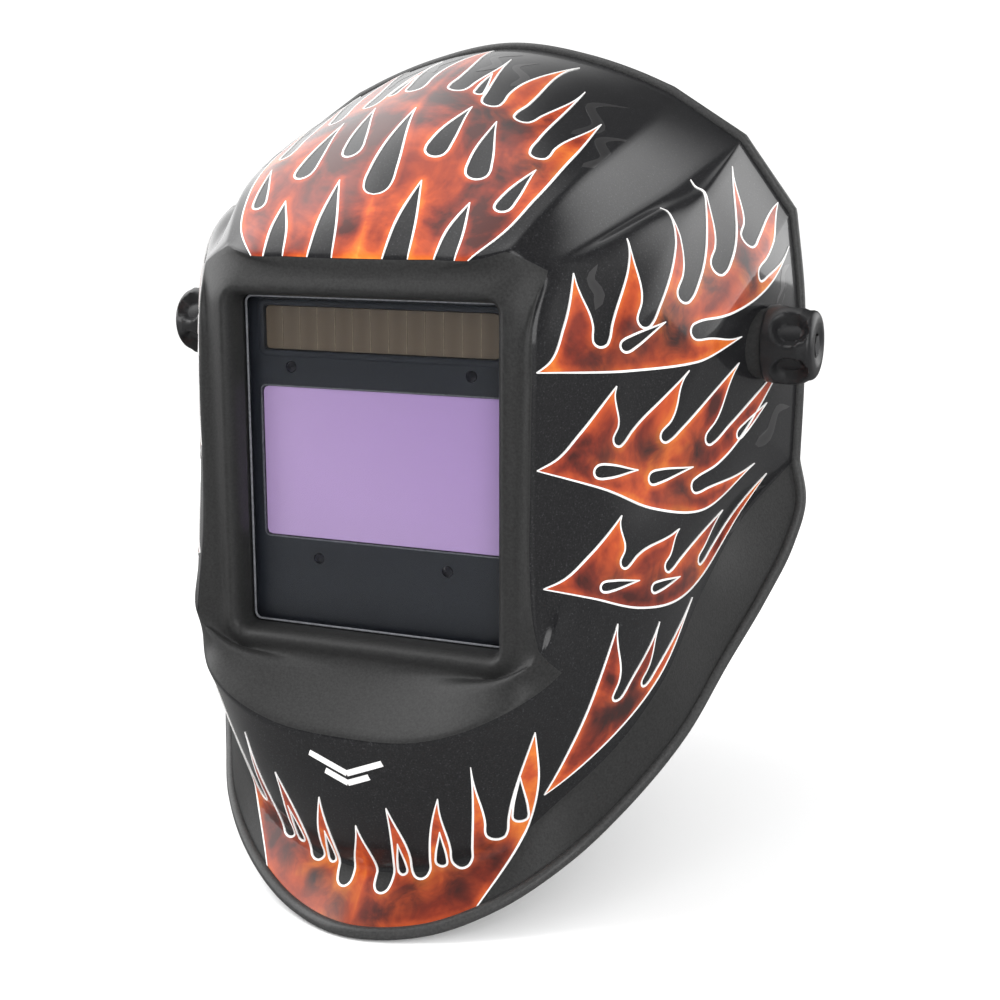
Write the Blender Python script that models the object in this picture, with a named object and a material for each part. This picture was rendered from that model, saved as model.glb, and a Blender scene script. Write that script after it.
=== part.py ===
"""Auto-darkening welding helmet with flip-up shell, filter cassette and ratchet headgear.

Frame: +X is the wearer's left, +Y the back of the head, +Z up.  The origin is the middle of
the pivot axis, the line through the two side bolts that the shell turns about.
Lengths below are in millimetres; every mesh is written in metres.
"""
import math

import bmesh
import bpy
import numpy as np
from mathutils import Matrix, Vector

MM = 0.001
GAP = 0.3                        # clearance left between pieces that touch

# ---- driving dimensions -------------------------------------------------------------------
OPENING_CENTRE = Vector((0.0, -103.0, -42.0))   # centre of the lens opening's front edge
OPENING_HALF = (53.2, 62.9)      # half width and half height of the lens opening
OPENING_RADIUS = 3.0
OPENING_DEPTH = 7.0              # from the opening's front edge back to the lens ledge
WALL = 2.2                       # moulded shell wall
BEZEL_CREST = (5.0, -4.5)        # crest of the bezel bead: distance outside the opening, depth

WINDOW_HALF_X = 50.0             # purple filter window
WINDOW_Z = (-30.0, 28.0)
SOLAR_HALF_X = 48.0
SOLAR_Z = (41.7, 58.4)
CASSETTE_HALF = (58.0, 67.5)
HOLDER_WALL = 2.5

PIVOT_X = 124.6                  # outer face of the boss that the tension knob bears on
BOSS_RADIUS = 13.5
BOSS_DEPTH = 7.0
BORE_RADIUS = 4.4
KNOB_RADIUS = 15.0
KNOB_LENGTH = 15.5
KNOB_SETBACK = 2.1               # the knob starts this far outside the boss
BOLT_RADIUS = 4.0
BOLT_HEAD = (6.5, 3.5)           # radius and thickness
BOLT_SHORT = 7.0                 # the bolt ends this far short of the knob's length
WASHER_BORE = 4.5
FRICTION_WASHER_RADIUS = 11.0
OUTER_WASHER = (8.0, 1.5)        # radius and thickness

HEAD_HALF = (79.0, 93.0)         # inside of the headband: half width, half depth
HEAD_CENTRE = Vector((0.0, 52.0, 9.5))
HEAD_TILT = math.radians(-15.9)  # the band rides high on the brow and low at the nape
BAND_HEIGHT = 24.0
BAND_THICK = 2.2
SLIDE_Y = 6.0                    # middle of the fore and aft slide, along the band
STRAP_WIDTH = 18.0
STRAP_THICK = 1.8
STRAP_ENDS = (4.0, 176.0)        # a crown strap's arc, in degrees across the head
STRAP_OVERLAP = (76.0, 104.0)    # the two front straps overlap over this arc
FRONT_ARCH_Y = -16.0
FRONT_ARCH = (HEAD_HALF[0] - 3.0, 53.0)         # half width and rise of the front straps
REAR_ARCH_Y = 26.0
REAR_ARCH = (HEAD_HALF[0] - 6.0, 33.0)
STRAP_LAYER = STRAP_THICK + GAP  # the right strap lies this far over the left one


# ---- scene and materials ------------------------------------------------------------------
for old in list(bpy.data.objects):
    bpy.data.objects.remove(old, do_unlink=True)


def material(name, colour, roughness, metallic=0.0, transmission=0.0):
    mat = bpy.data.materials.new(name)
    mat.use_nodes = True
    shader = mat.node_tree.nodes["Principled BSDF"]
    shader.inputs["Base Color"].default_value = (*colour, 1.0)
    shader.inputs["Roughness"].default_value = roughness
    shader.inputs["Metallic"].default_value = metallic
    shader.inputs["Transmission Weight"].default_value = transmission
    mat.diffuse_color = (*colour, 1.0)
    return mat


SHELL_BLACK = material("shell_black", (0.012, 0.012, 0.013), 0.30)
CASE_SLATE = material("case_slate", (0.030, 0.033, 0.040), 0.40)
FILTER_PURPLE = material("filter_purple", (0.42, 0.28, 0.55), 0.08)
SOLAR_BROWN = material("solar_brown", (0.12, 0.085, 0.055), 0.25)
CLEAR = material("clear_polycarbonate", (0.95, 0.96, 0.97), 0.03, 0.0, 0.95)
SENSOR = material("sensor_lens", (0.01, 0.01, 0.015), 0.05)
BOARD_GREEN = material("board_green", (0.02, 0.12, 0.05), 0.45)
DISPLAY = material("display", (0.22, 0.26, 0.20), 0.15)
BUTTON_GREY = material("button_grey", (0.16, 0.17, 0.18), 0.50)
KNOB_BLACK = material("knob_black", (0.010, 0.010, 0.010), 0.35)
STEEL = material("steel", (0.62, 0.62, 0.63), 0.28, 1.0)
BAND_BLACK = material("band_black", (0.020, 0.020, 0.021), 0.50)
RUBBER = material("rubber", (0.025, 0.025, 0.025), 0.80)
FABRIC = material("fabric", (0.030, 0.030, 0.034), 0.90)


# ---- mesh helpers -------------------------------------------------------------------------
def finish(name, bm, mat, parent=None, smooth=False):
    """Turn a bmesh in millimetres into a named object in metres."""
    bmesh.ops.recalc_face_normals(bm, faces=bm.faces)
    bmesh.ops.scale(bm, vec=(MM, MM, MM), verts=bm.verts)
    mesh = bpy.data.meshes.new(name)
    bm.to_mesh(mesh)
    bm.free()
    mesh.materials.append(mat)
    if smooth:
        mesh.shade_smooth()
        mesh.set_sharp_from_angle(angle=math.radians(35))
    obj = bpy.data.objects.new(name, mesh)
    bpy.context.scene.collection.objects.link(obj)
    if parent is not None:
        obj.parent = parent
    return obj


def bevel(obj, width, segments=1):
    mod = obj.modifiers.new("edge", "BEVEL")
    mod.width = width * MM
    mod.segments = segments
    mod.limit_method = "ANGLE"
    mod.angle_limit = math.radians(50)
    return obj


def block(name, low, high, mat, parent=None, edge=0.0):
    """A rectangular block between two corners."""
    bm = bmesh.new()
    bmesh.ops.create_cube(bm, size=1.0)
    low, high = Vector(low), Vector(high)
    size = high - low
    bmesh.ops.transform(bm, matrix=Matrix.Diagonal((*size, 1.0)), verts=bm.verts)
    bmesh.ops.translate(bm, vec=(low + high) / 2, verts=bm.verts)
    obj = finish(name, bm, mat, parent)
    return bevel(obj, edge) if edge else obj


def rounded_rectangle(half_x, half_z, radius, centre=(0.0, 0.0), steps=3):
    """Outline of a rectangle with round corners, as (x, z) points."""
    points = []
    for corner, (sx, sz) in enumerate(((1, 1), (-1, 1), (-1, -1), (1, -1))):
        cx, cz = centre[0] + sx * (half_x - radius), centre[1] + sz * (half_z - radius)
        for i in range(steps + 1):
            angle = math.pi / 2 * (corner + i / steps)
            points.append((cx + radius * math.cos(angle), cz + radius * math.sin(angle)))
    return points


def circle(radius, centre=(0.0, 0.0), steps=16):
    return [(centre[0] + radius * math.cos(2 * math.pi * i / steps),
             centre[1] + radius * math.sin(2 * math.pi * i / steps)) for i in range(steps)]


def prism(name, loops, span, mat, axis="Y", parent=None, smooth=False):
    """Extrude a flat outline with holes along one axis.  The first loop is the outside."""
    to_3d = {"Y": lambda a, b, d: (a, d, b), "X": lambda a, b, d: (d, a, b),
             "Z": lambda a, b, d: (a, b, d)}[axis]
    bm = bmesh.new()
    for loop in loops:
        verts = [bm.verts.new(to_3d(a, b, span[0])) for a, b in loop]
        for first, second in zip(verts, verts[1:] + verts[:1]):
            bm.edges.new((first, second))
    bmesh.ops.triangle_fill(bm, edges=bm.edges[:], use_beauty=True)
    out = bmesh.ops.extrude_face_region(bm, geom=bm.faces[:])
    moved = [v for v in out["geom"] if isinstance(v, bmesh.types.BMVert)]
    depth = Vector(to_3d(0.0, 0.0, span[1] - span[0]))
    bmesh.ops.translate(bm, vec=depth, verts=moved)
    return finish(name, bm, mat, parent, smooth)


def turned(name, profile, centre, mat, parent=None, axis="X", steps=20, squash=None):
    """Revolve a closed (distance along the axis, radius) profile about an axis."""
    frame = {"X": Matrix.Identity(3),
             "Y": Matrix(((0, 1, 0), (1, 0, 0), (0, 0, 1))),
             "Z": Matrix(((0, 1, 0), (0, 0, 1), (1, 0, 0)))}[axis]
    bm = bmesh.new()
    rings = []
    for along, radius in profile:
        if radius == 0.0:
            rings.append([bm.verts.new(frame @ Vector((along, 0, 0)))])
            continue
        ring = []
        for i in range(steps):
            angle = 2 * math.pi * i / steps
            r = radius * (squash(angle, along) if squash else 1.0)
            ring.append(bm.verts.new(frame @ Vector((along, r * math.cos(angle), r * math.sin(angle)))))
        rings.append(ring)
    closed = profile[0][1] > 0.0
    pairs = list(zip(rings, rings[1:])) + ([(rings[-1], rings[0])] if closed else [])
    for ring, following in pairs:
        for i in range(steps):
            j = (i + 1) % steps
            corners = [ring[i % len(ring)], ring[j % len(ring)],
                       following[j % len(following)], following[i % len(following)]]
            bm.faces.new(list(dict.fromkeys(corners)))
    bmesh.ops.translate(bm, vec=centre, verts=bm.verts)
    return finish(name, bm, mat, parent, smooth=True)


def cut(obj, cutter):
    """Subtract a cutter from an object and leave the cutter hidden."""
    cutter.hide_render = True
    cutter.display_type = "WIRE"
    mod = obj.modifiers.new("cut_" + cutter.name, "BOOLEAN")
    mod.operation = "DIFFERENCE"
    mod.object = cutter
    return obj


def join_with(obj, guide):
    """Unite a guide solid with an object and leave the guide hidden."""
    guide.hide_render = True
    guide.display_type = "WIRE"
    mod = obj.modifiers.new("join_" + guide.name, "BOOLEAN")
    mod.operation = "UNION"
    mod.object = guide
    return obj


# ---- smooth curves and skins for the moulded shell ----------------------------------------
def tangents(points):
    """Slopes of a smooth curve through points, with the chord length as its parameter."""
    chord = np.maximum(np.linalg.norm(np.diff(points, axis=0), axis=1), 1e-6)
    slope = np.diff(points, axis=0) / chord[:, None]
    inner = (chord[1:, None] * slope[:-1] + chord[:-1, None] * slope[1:]) / (chord[1:] + chord[:-1])[:, None]
    return np.vstack([slope[:1], inner, slope[-1:]]), chord


def curve_point(points, slopes, chord, span, t):
    """Cubic Hermite point on one span, t from 0 to 1."""
    a, b = points[span], points[span + 1]
    ta, tb = slopes[span] * chord[span], slopes[span + 1] * chord[span]
    return ((2 * t ** 3 - 3 * t ** 2 + 1) * a + (t ** 3 - 2 * t ** 2 + t) * ta
            + (3 * t ** 2 - 2 * t ** 3) * b + (t ** 3 - t ** 2) * tb)


MIRROR = np.array((-1.0, 1.0, 1.0))


def rail(sections, counts, ends_on_centre=False):
    """Sample one smooth curve.  Each section of points ends where the next begins, and is
    cut into its own count of equal chord steps.  A curve that ends on the centre plane
    crosses it square."""
    points = [np.array(p, float) for section in sections for p in section]
    last = len(points) - 1
    if ends_on_centre:
        points.append(points[-2] * MIRROR)
    points = np.array(points)
    slopes, chord = tangents(points)
    reach = np.concatenate([[0.0], np.cumsum(chord)])
    samples, start = [points[0]], 0
    for section, count in zip(sections, counts):
        end = (start + len(section) - 1) if start == 0 else (start + len(section))
        for distance in np.linspace(reach[start], reach[end], count + 1)[1:]:
            span = min(int(np.searchsorted(reach, distance, side="left")) - 1, last - 1)
            span = max(span, 0)
            t = (distance - reach[span]) / chord[span]
            samples.append(curve_point(points, slopes, chord, span, t))
        start = end
    return np.array(samples)


def skin(rails, counts, before=None, after=None):
    """Grid of points through rails that have the same number of stations.  counts gives the
    steps between neighbouring rails; before and after only steer the end slopes."""
    rows = []
    extra = ([before] if before is not None else []) + list(rails) + ([after] if after is not None else [])
    offset = 1 if before is not None else 0
    for station in range(len(rails[0])):
        across = np.array([r[station] for r in extra])
        slopes, chord = tangents(across)
        row = [across[offset]]
        for k, count in enumerate(counts):
            for i in range(1, count + 1):
                row.append(curve_point(across, slopes, chord, offset + k, i / count))
        rows.append(row)
    return np.array(rows)


def add_skin(bm, grid):
    verts = [[bm.verts.new(p) for p in row] for row in grid]
    for row, following in zip(verts, verts[1:]):
        for i in range(len(row) - 1):
            bm.faces.new((row[i], row[i + 1], following[i + 1], following[i]))


# ---- the shell's outline, measured from the centre of the lens opening -----------------------
# Dome, front edge to rear rim: centre line, two intermediate lines and the soft crease.
DOME_CENTRE = [(0, -4, 77), (0, 5, 92), (0, 30, 120), (0, 70, 142), (0, 105, 153), (0, 137, 158)]
DOME_MIDDLE = [(28, -4, 77.3), (29, 5, 90), (33, 30, 113.5), (36, 70, 133.8), (36.5, 105, 145.5), (36, 137, 152)]
DOME_SIDE = [(48, -3.5, 78), (50, 5, 87.4), (54, 30, 107), (57, 70, 124.2), (58, 105, 136), (57, 137, 145)]
DOME_CREASE = [(56, 0, 81), (65, 25, 98), (71.5, 66, 115), (73, 105, 128), (71, 137, 139)]
# Sharp shoulder edge, bezel corner to rim.
SHOULDER = [(68.7, 5.5, 75), (78, 36, 85), (87, 70, 97), (101, 137, 120)]
# Outer edge of the bezel down the side, from the top corner to the bottom corner.
BEZEL_SIDE = [(68.7, 5.5, 75), (66.5, -2.5, 62), (66.7, -4.5, 40), (66.5, -5, 0), (67, -6, -30), (69, -7, -48),
              (71.3, -5.5, -59.5)]
# Middle of the cheek, the panel between the shoulder or bezel side and the upper crease.
CHEEK_MIDDLE = ([(101, 137, 120), (95.6, 90, 101.5), (82.8, 27, 75)],
                [(78.8, 15.5, 51), (76.3, 9.5, 23), (74.3, 6, -5), (72.4, -1, -40), (71.3, -5.5, -59.5)])
# Upper crease: rim corner, past the shoulder, down the side, and along under the bezel.
UPPER_CREASE = ([(101, 137, 120), (100.5, 90, 100), (97, 48.5, 75)],
                [(91, 33, 50), (86, 24, 21), (82, 17, -7), (76.5, 4.5, -41.5), (71.3, -5.5, -59.5)],
                [(61, -8.5, -67.5), (45, -8.5, -72.5), (24, -7.5, -76.5), (0, -7, -78)])
# Lower crease: rim, down the side, and the ridge across the chin.
LOWER_CREASE = ([(122, 137, 91.5), (117, 85, 65.5), (108.5, 62, 42)],
                [(100, 50, 18.5), (94.5, 45, 0), (90.5, 29, -23), (85, 18, -46.5), (75.5, 4, -68)],
                [(60.5, -14, -80), (50, -18.5, -85.5), (32, -21, -92), (0, -21, -95)])
# Middle of the side and chin panel, which gives it its crown.
PANEL_MIDDLE = ([(122, 137, 91.5), (122.5, 111, 61), (119.5, 99, 38.5)],
                [(116, 93, 16), (113.5, 90, -4), (104.5, 67, -27), (98, 47, -50.5), (88.5, 28, -77)],
                [(74.5, 12, -92.5), (61, -0.5, -104), (42, -9, -117.5), (21, -13.5, -122.5), (0, -15, -124.5)])
# Rear rim of the side, down to the jaw point, then the fillet that the flange grows from.
SIDE_RIM = [(122, 137, 91.5), (126.5, 137, 57), (127.5, 137, 23), (127, 137, -9)]
FILLET = [(127, 137, -9), (112, 108, -30), (105, 80, -53), (97, 55, -84), (86, 40, -104), (69, 20, -123),
          (50, 8, -141), (26, -1, -150), (0, -4, -153)]
FLANGE_EDGE = [(127, 137, -9), (130.5, 135, -25), (128, 127, -42), (121, 112, -62), (111.5, 92, -84),
               (102, 65, -108), (86.5, 38.7, -130.5), (73.5, 19.3, -144), (51, 0, -160), (28, -12, -169),
               (0, -20, -171)]

DOME_STEPS = 8                   # front to back over the dome and shoulder
SIDE_STEPS = 10                  # down the side of the bezel
CHIN_STEPS = 8                   # along the bottom of the bezel
RIM_STEPS = 10                   # rear rim from the lower crease to the jaw point
CORNER_STEPS = 2


def opening_ring(outset, depth):
    """Half of a rounded rectangle round the lens opening, from top centre to bottom centre."""
    half_x, half_z = OPENING_HALF[0] + outset, OPENING_HALF[1] + outset
    radius = OPENING_RADIUS + outset
    flat = CHIN_STEPS - CORNER_STEPS
    points = [(half_x - radius) * i / flat for i in range(flat)]
    ring = [(x, half_z) for x in points]
    for i in range(CORNER_STEPS + 1):
        angle = math.pi / 2 * (1 - i / CORNER_STEPS)
        ring.append((half_x - radius + radius * math.cos(angle), half_z - radius + radius * math.sin(angle)))
    drop = 2 * (half_z - radius)
    ring += [(half_x, half_z - radius - drop * i / SIDE_STEPS) for i in range(1, SIDE_STEPS)]
    lower = [(x, -z) for x, z in ring[:flat + CORNER_STEPS + 1]]
    ring += lower[::-1]
    return np.array([(x, depth, z) for x, z in ring])


def shell_grids():
    """Every skin of the shell's wearer's-left half, outer face."""
    centre = rail([DOME_CENTRE], [DOME_STEPS])
    middle = rail([DOME_MIDDLE], [DOME_STEPS])
    side = rail([DOME_SIDE], [DOME_STEPS])
    crease = rail([DOME_CREASE], [DOME_STEPS])
    shoulder = rail([SHOULDER], [DOME_STEPS])
    counts = (DOME_STEPS, SIDE_STEPS, CHIN_STEPS)
    upper = rail(UPPER_CREASE, counts, ends_on_centre=True)
    lower = rail(LOWER_CREASE, counts, ends_on_centre=True)
    dome = skin([centre, middle, side, crease], (2, 2, 2), before=middle * MIRROR)
    facet = skin([crease, shoulder], (2,))
    cheek_middle = rail(CHEEK_MIDDLE, counts[:2])
    corner = skin([shoulder, cheek_middle[:DOME_STEPS + 1][::-1], upper[:DOME_STEPS + 1][::-1]], (1, 1))

    bezel_side = rail([BEZEL_SIDE], [SIDE_STEPS])
    side_crease = upper[DOME_STEPS:DOME_STEPS + SIDE_STEPS + 1]
    chin_crease = upper[DOME_STEPS + SIDE_STEPS:]
    outer = np.vstack([dome[0], facet[0][1:], bezel_side[1:], chin_crease[1:]])
    crest = opening_ring(*BEZEL_CREST)
    edge = opening_ring(0.0, 0.0)
    ledge = opening_ring(0.0, OPENING_DEPTH)
    bezel = skin([edge, crest, outer], (2, 2))
    well = skin([ledge, edge], (1,))
    cheek = skin([bezel_side, cheek_middle[DOME_STEPS:], side_crease], (1, 1))

    total = sum(counts)
    rim = rail([SIDE_RIM], [RIM_STEPS])
    fillet = rail([FILLET], [total - RIM_STEPS], ends_on_centre=True)
    border = np.vstack([rim, fillet[1:]])
    panel_middle = rail(PANEL_MIDDLE, counts, ends_on_centre=True)
    strip = skin([upper, lower], (2,))
    panel = skin([lower, panel_middle, border], (2, 2))
    flange_edge = rail([FLANGE_EDGE], [total - RIM_STEPS], ends_on_centre=True)
    flange = skin([fillet, flange_edge], (2,))
    return [dome, facet, corner, bezel, well, cheek, strip, panel, flange]


def make_shell():
    bm = bmesh.new()
    for grid in shell_grids():
        add_skin(bm, grid)
    bmesh.ops.remove_doubles(bm, verts=bm.verts, dist=0.02)
    half = bm.verts[:] + bm.edges[:] + bm.faces[:]
    copy = bmesh.ops.duplicate(bm, geom=half)["geom"]
    bmesh.ops.scale(bm, vec=(-1, 1, 1), verts=[v for v in copy if isinstance(v, bmesh.types.BMVert)])
    bmesh.ops.remove_doubles(bm, verts=bm.verts, dist=0.02)
    bmesh.ops.translate(bm, vec=OPENING_CENTRE, verts=bm.verts)
    shell = finish("shell", bm, SHELL_BLACK, smooth=True)
    wall = shell.modifiers.new("wall", "SOLIDIFY")
    wall.thickness = WALL * MM
    wall.offset = -1.0
    wall.use_even_offset = True
    for sign in (1, -1):
        join_with(shell, rod("boss_" + side_name(sign), sign, PIVOT_X - BOSS_DEPTH, PIVOT_X, BOSS_RADIUS))
    for sign in (1, -1):
        cut(shell, rod("bore_" + side_name(sign), sign, PIVOT_X - 2 * BOSS_DEPTH, PIVOT_X + BOSS_DEPTH, BORE_RADIUS))
    return shell


def side_name(sign):
    return "left" if sign > 0 else "right"


def rod(name, sign, near, far, radius):
    """Plain cylinder on the pivot axis, on the side that sign says."""
    profile = [(sign * near, 0.0), (sign * near, radius), (sign * far, radius), (sign * far, 0.0)]
    return turned(name, profile, (0, 0, 0), SHELL_BLACK, steps=24)


# ---- filter cassette ----------------------------------------------------------------------
LENS_FRONT = OPENING_DEPTH + GAP


def at_opening(*low_high):
    """Corners given from the opening's centre, moved into the part's frame."""
    return [Vector(p) + OPENING_CENTRE for p in low_high]


def opening_prism(name, loops, depth, mat, smooth=False):
    """Flat plate behind the lens opening, between two depths behind its front edge."""
    shifted = [[(x + OPENING_CENTRE.x, z + OPENING_CENTRE.z) for x, z in loop] for loop in loops]
    span = (OPENING_CENTRE.y + depth[0], OPENING_CENTRE.y + depth[1])
    return prism(name, shifted, span, mat, smooth=smooth)


def window_outline(inset=0.0):
    middle = sum(WINDOW_Z) / 2
    half = (WINDOW_Z[1] - WINDOW_Z[0]) / 2
    return rounded_rectangle(WINDOW_HALF_X - inset, half - inset, 2.0, (0, middle), 2)


def solar_outline(inset=0.0):
    middle = sum(SOLAR_Z) / 2
    half = (SOLAR_Z[1] - SOLAR_Z[0]) / 2
    return rounded_rectangle(SOLAR_HALF_X - inset, half - inset, 1.5, (0, middle), 2)


SENSOR_PLACES = ((-37.0, 35.5), (37.0, 35.5), (-27.0, -37.5), (27.0, -37.5))
SENSOR_RADIUS = 2.0
FACE_DEPTH = (12.2, 16.0)        # front case
FILL_DEPTH = (13.0, 15.8)        # glass and solar strip, set back in the front case
BOARD_DEPTH = (17.8, 19.2)
BACK_DEPTH = (16.3, 26.0)        # rear case
BUTTON_PLACES = (-38.0, -25.0, 25.0, 38.0)
CONTROL_Z = -47.0
BATTERY_X = 34.0
BATTERY_Z = 49.0
CELL_RADIUS = 12.0
CAP_RADIUS = 13.5


def make_cassette():
    hx, hz = CASSETTE_HALF
    outline = rounded_rectangle(hx, hz, 4.0)
    opening_prism("front_cover_lens", [outline], (LENS_FRONT, LENS_FRONT + 1.5), CLEAR)
    opening_prism("lens_gasket", [outline, rounded_rectangle(hx - 3.3, hz - 3.3, 2.0)],
                  (LENS_FRONT + 1.8, LENS_FRONT + 4.3), RUBBER)
    sensors = [circle(SENSOR_RADIUS + GAP, place, 12) for place in SENSOR_PLACES]
    opening_prism("adf_case_front", [outline, window_outline(), solar_outline(), *sensors], FACE_DEPTH, CASE_SLATE)
    opening_prism("filter_glass", [window_outline(GAP)], FILL_DEPTH, FILTER_PURPLE)
    opening_prism("solar_panel", [solar_outline(GAP)], FILL_DEPTH, SOLAR_BROWN)
    for number, (x, z) in enumerate(SENSOR_PLACES, 1):
        centre = Vector((x, 0.0, z)) + OPENING_CENTRE
        turned(f"arc_sensor_{number}", [(FACE_DEPTH[0] - 0.6, 0.0), (FACE_DEPTH[0], SENSOR_RADIUS),
                                        (FACE_DEPTH[1] - 0.5, SENSOR_RADIUS), (FACE_DEPTH[1] - 0.5, 0.0)],
               centre, SENSOR, axis="Y", steps=12)
    make_rear_case(outline)


def make_rear_case(outline):
    """Rear case: an open-backed tray wall, a rear panel with its cut-outs, and what it holds."""
    hx, hz = CASSETTE_HALF
    view = rounded_rectangle(WINDOW_HALF_X - 1.5, 27.0, 2.0, (0, -1.0), 2)
    display = rounded_rectangle(16.0, 6.5, 1.0, (0, CONTROL_Z), 2)
    buttons = [circle(3.6, (x, CONTROL_Z), 12) for x in BUTTON_PLACES]
    cells = [circle(CAP_RADIUS + GAP, (sign * BATTERY_X, BATTERY_Z), 20) for sign in (-1, 1)]
    back = opening_prism("adf_case_back", [outline, view, display, *buttons, *cells], BACK_DEPTH, CASE_SLATE)
    pocket_low, pocket_high = at_opening((-hx + 2, BOARD_DEPTH[0] - 3, -hz + 2), (hx - 2, BACK_DEPTH[1] - 2, hz - 2))
    cut(back, block("rear_case_pocket", pocket_low, pocket_high, CASE_SLATE))
    board = rounded_rectangle(hx - 3, hz - 3, 2.0)
    board_view = rounded_rectangle(WINDOW_HALF_X - 1.5, 28.0, 1.0, (0, -1.0), 2)
    opening_prism("circuit_board", [board, board_view], BOARD_DEPTH, BOARD_GREEN)
    opening_prism("lcd_display", [rounded_rectangle(15.5, 6.0, 0.8, (0, CONTROL_Z), 2)],
                  (BOARD_DEPTH[1] + GAP, BACK_DEPTH[1] - 0.6), DISPLAY)
    for number, x in enumerate(BUTTON_PLACES, 1):
        centre = Vector((x, 0.0, CONTROL_Z)) + OPENING_CENTRE
        top = BACK_DEPTH[1] + 1.4
        turned(f"control_button_{number}", [(BOARD_DEPTH[1] + 1.2, 0.0), (BOARD_DEPTH[1] + 1.2, 3.3),
                                            (top - 0.5, 3.3), (top, 2.7), (top, 0.0)],
               centre, BUTTON_GREY, axis="Y", steps=14)
    for sign in (-1, 1):
        centre = Vector((sign * BATTERY_X, 0.0, BATTERY_Z)) + OPENING_CENTRE
        turned("coin_cell_" + side_name(sign),
               [(BOARD_DEPTH[1] + GAP, 0.0), (BOARD_DEPTH[1] + GAP, CELL_RADIUS - 0.6),
                (BOARD_DEPTH[1] + 1.0, CELL_RADIUS), (24.0, CELL_RADIUS), (24.0, 0.0)],
               centre, STEEL, axis="Y", steps=20)
        cap = turned("battery_cap_" + side_name(sign),
                     [(24.3, 0.0), (24.3, CAP_RADIUS - 0.2), (27.0, CAP_RADIUS - 0.2), (27.6, CAP_RADIUS - 0.8),
                      (27.6, 0.0)], centre, BUTTON_GREY, axis="Y", steps=20)
        slot_low, slot_high = centre + Vector((-8.0, 26.6, -1.0)), centre + Vector((8.0, 28.5, 1.0))
        cut(cap, block("coin_slot_" + side_name(sign), slot_low, slot_high, BUTTON_GREY))
    opening_prism("inside_cover_lens", [rounded_rectangle(54.0, 29.5, 2.0, (0, -1.0), 2)],
                  (BACK_DEPTH[1] + GAP, BACK_DEPTH[1] + 1.3), CLEAR)


HOLDER_DEPTH = (LENS_FRONT, 30.0)
RETAINER_DEPTH = (30.3, 33.0)


def make_lens_holder():
    """Box-shaped holder behind the ledge, and the frame that latches the cassette into it."""
    hx, hz = CASSETTE_HALF[0] + 0.8, CASSETTE_HALF[1] + 0.8
    outer = rounded_rectangle(hx + HOLDER_WALL, hz + HOLDER_WALL, 5.0)
    opening_prism("lens_holder", [outer, rounded_rectangle(hx, hz, 4.5)], HOLDER_DEPTH, SHELL_BLACK)
    opening_prism("lens_retainer", [outer, rounded_rectangle(hx - 4.5, hz - 4.0, 3.0)], RETAINER_DEPTH, CASE_SLATE)
    for word, sign in (("upper", 1), ("lower", -1)):
        base = sign * (hz + HOLDER_WALL + GAP)
        tip = base + sign * 2.2
        corners = at_opening((-9.0, 22.0, min(base, tip)), (9.0, RETAINER_DEPTH[1] + 2.0, max(base, tip)))
        block(f"retainer_latch_{word}", *corners, CASE_SLATE, edge=0.5)


# ---- headgear -----------------------------------------------------------------------------
head = bpy.data.objects.new("head_frame", None)
bpy.context.scene.collection.objects.link(head)
head.location = HEAD_CENTRE * MM
head.rotation_euler = (HEAD_TILT, 0.0, 0.0)


def band_point(angle, offset):
    """Point of the head outline: angle 0 at the brow, +90 at the wearer's left, 180 at the nape."""
    a = math.radians(angle)
    return Vector(((HEAD_HALF[0] + offset) * math.sin(a), -(HEAD_HALF[1] + offset) * math.cos(a)))


def band(name, span, offsets, heights, mat, steps):
    """Curved strip round the head.  offsets may be two numbers or a function of the angle, and
    heights a pair or a function of the angle."""
    offset_at = offsets if callable(offsets) else (lambda angle: offsets)
    height_at = heights if callable(heights) else (lambda angle: heights)
    bm = bmesh.new()
    rings = []
    for i in range(steps + 1):
        angle = span[0] + (span[1] - span[0]) * i / steps
        (inner, outer), (low, high) = offset_at(angle), height_at(angle)
        inside, outside = band_point(angle, inner), band_point(angle, outer)
        rings.append([bm.verts.new((*inside, low)), bm.verts.new((*outside, low)),
                      bm.verts.new((*outside, high)), bm.verts.new((*inside, high))])
    for ring, following in zip(rings, rings[1:]):
        for i in range(4):
            j = (i + 1) % 4
            bm.faces.new((ring[i], ring[j], following[j], following[i]))
    bm.faces.new(rings[0])
    bm.faces.new(rings[-1])
    return finish(name, bm, mat, head, smooth=True)


HALF_BAND = BAND_HEIGHT / 2
FRONT_SPAN = 128.0               # the front band reaches this far round each side
TAIL_LAYER = BAND_THICK + 0.4


def brow_height(angle):
    """The band rises into a gentle arch over the forehead."""
    rise = 10.0 * max(0.0, math.cos(math.radians(angle) * 1.8)) ** 2 if abs(angle) < 50 else 0.0
    return (-HALF_BAND, HALF_BAND + rise)


def arch(name, y_place, angles, half_width, rise, layer, mat, steps=14):
    """Strap over the crown: part of an ellipse in a plane across the head.  Angle 0 is the
    wearer's left end and 180 the right end."""
    bm = bmesh.new()
    rings = []
    top = layer + STRAP_THICK
    for i in range(steps + 1):
        a = math.radians(angles[0] + (angles[1] - angles[0]) * i / steps)
        ring = []
        for across, out in ((-0.5, layer), (0.5, layer), (0.5, top), (-0.5, top)):
            ring.append(bm.verts.new(((half_width + out) * math.cos(a), y_place + across * STRAP_WIDTH,
                                      HALF_BAND + 1.0 + (rise + out) * math.sin(a))))
        rings.append(ring)
    for ring, following in zip(rings, rings[1:]):
        for i in range(4):
            j = (i + 1) % 4
            bm.faces.new((ring[i], ring[j], following[j], following[i]))
    bm.faces.new(rings[0])
    bm.faces.new(rings[-1])
    return finish(name, bm, mat, head, smooth=True)


RATCHET_SPAN = (158.0, 202.0)
RATCHET_HEIGHT = (-15.0, 15.0)
NAPE = HEAD_HALF[1]


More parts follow.
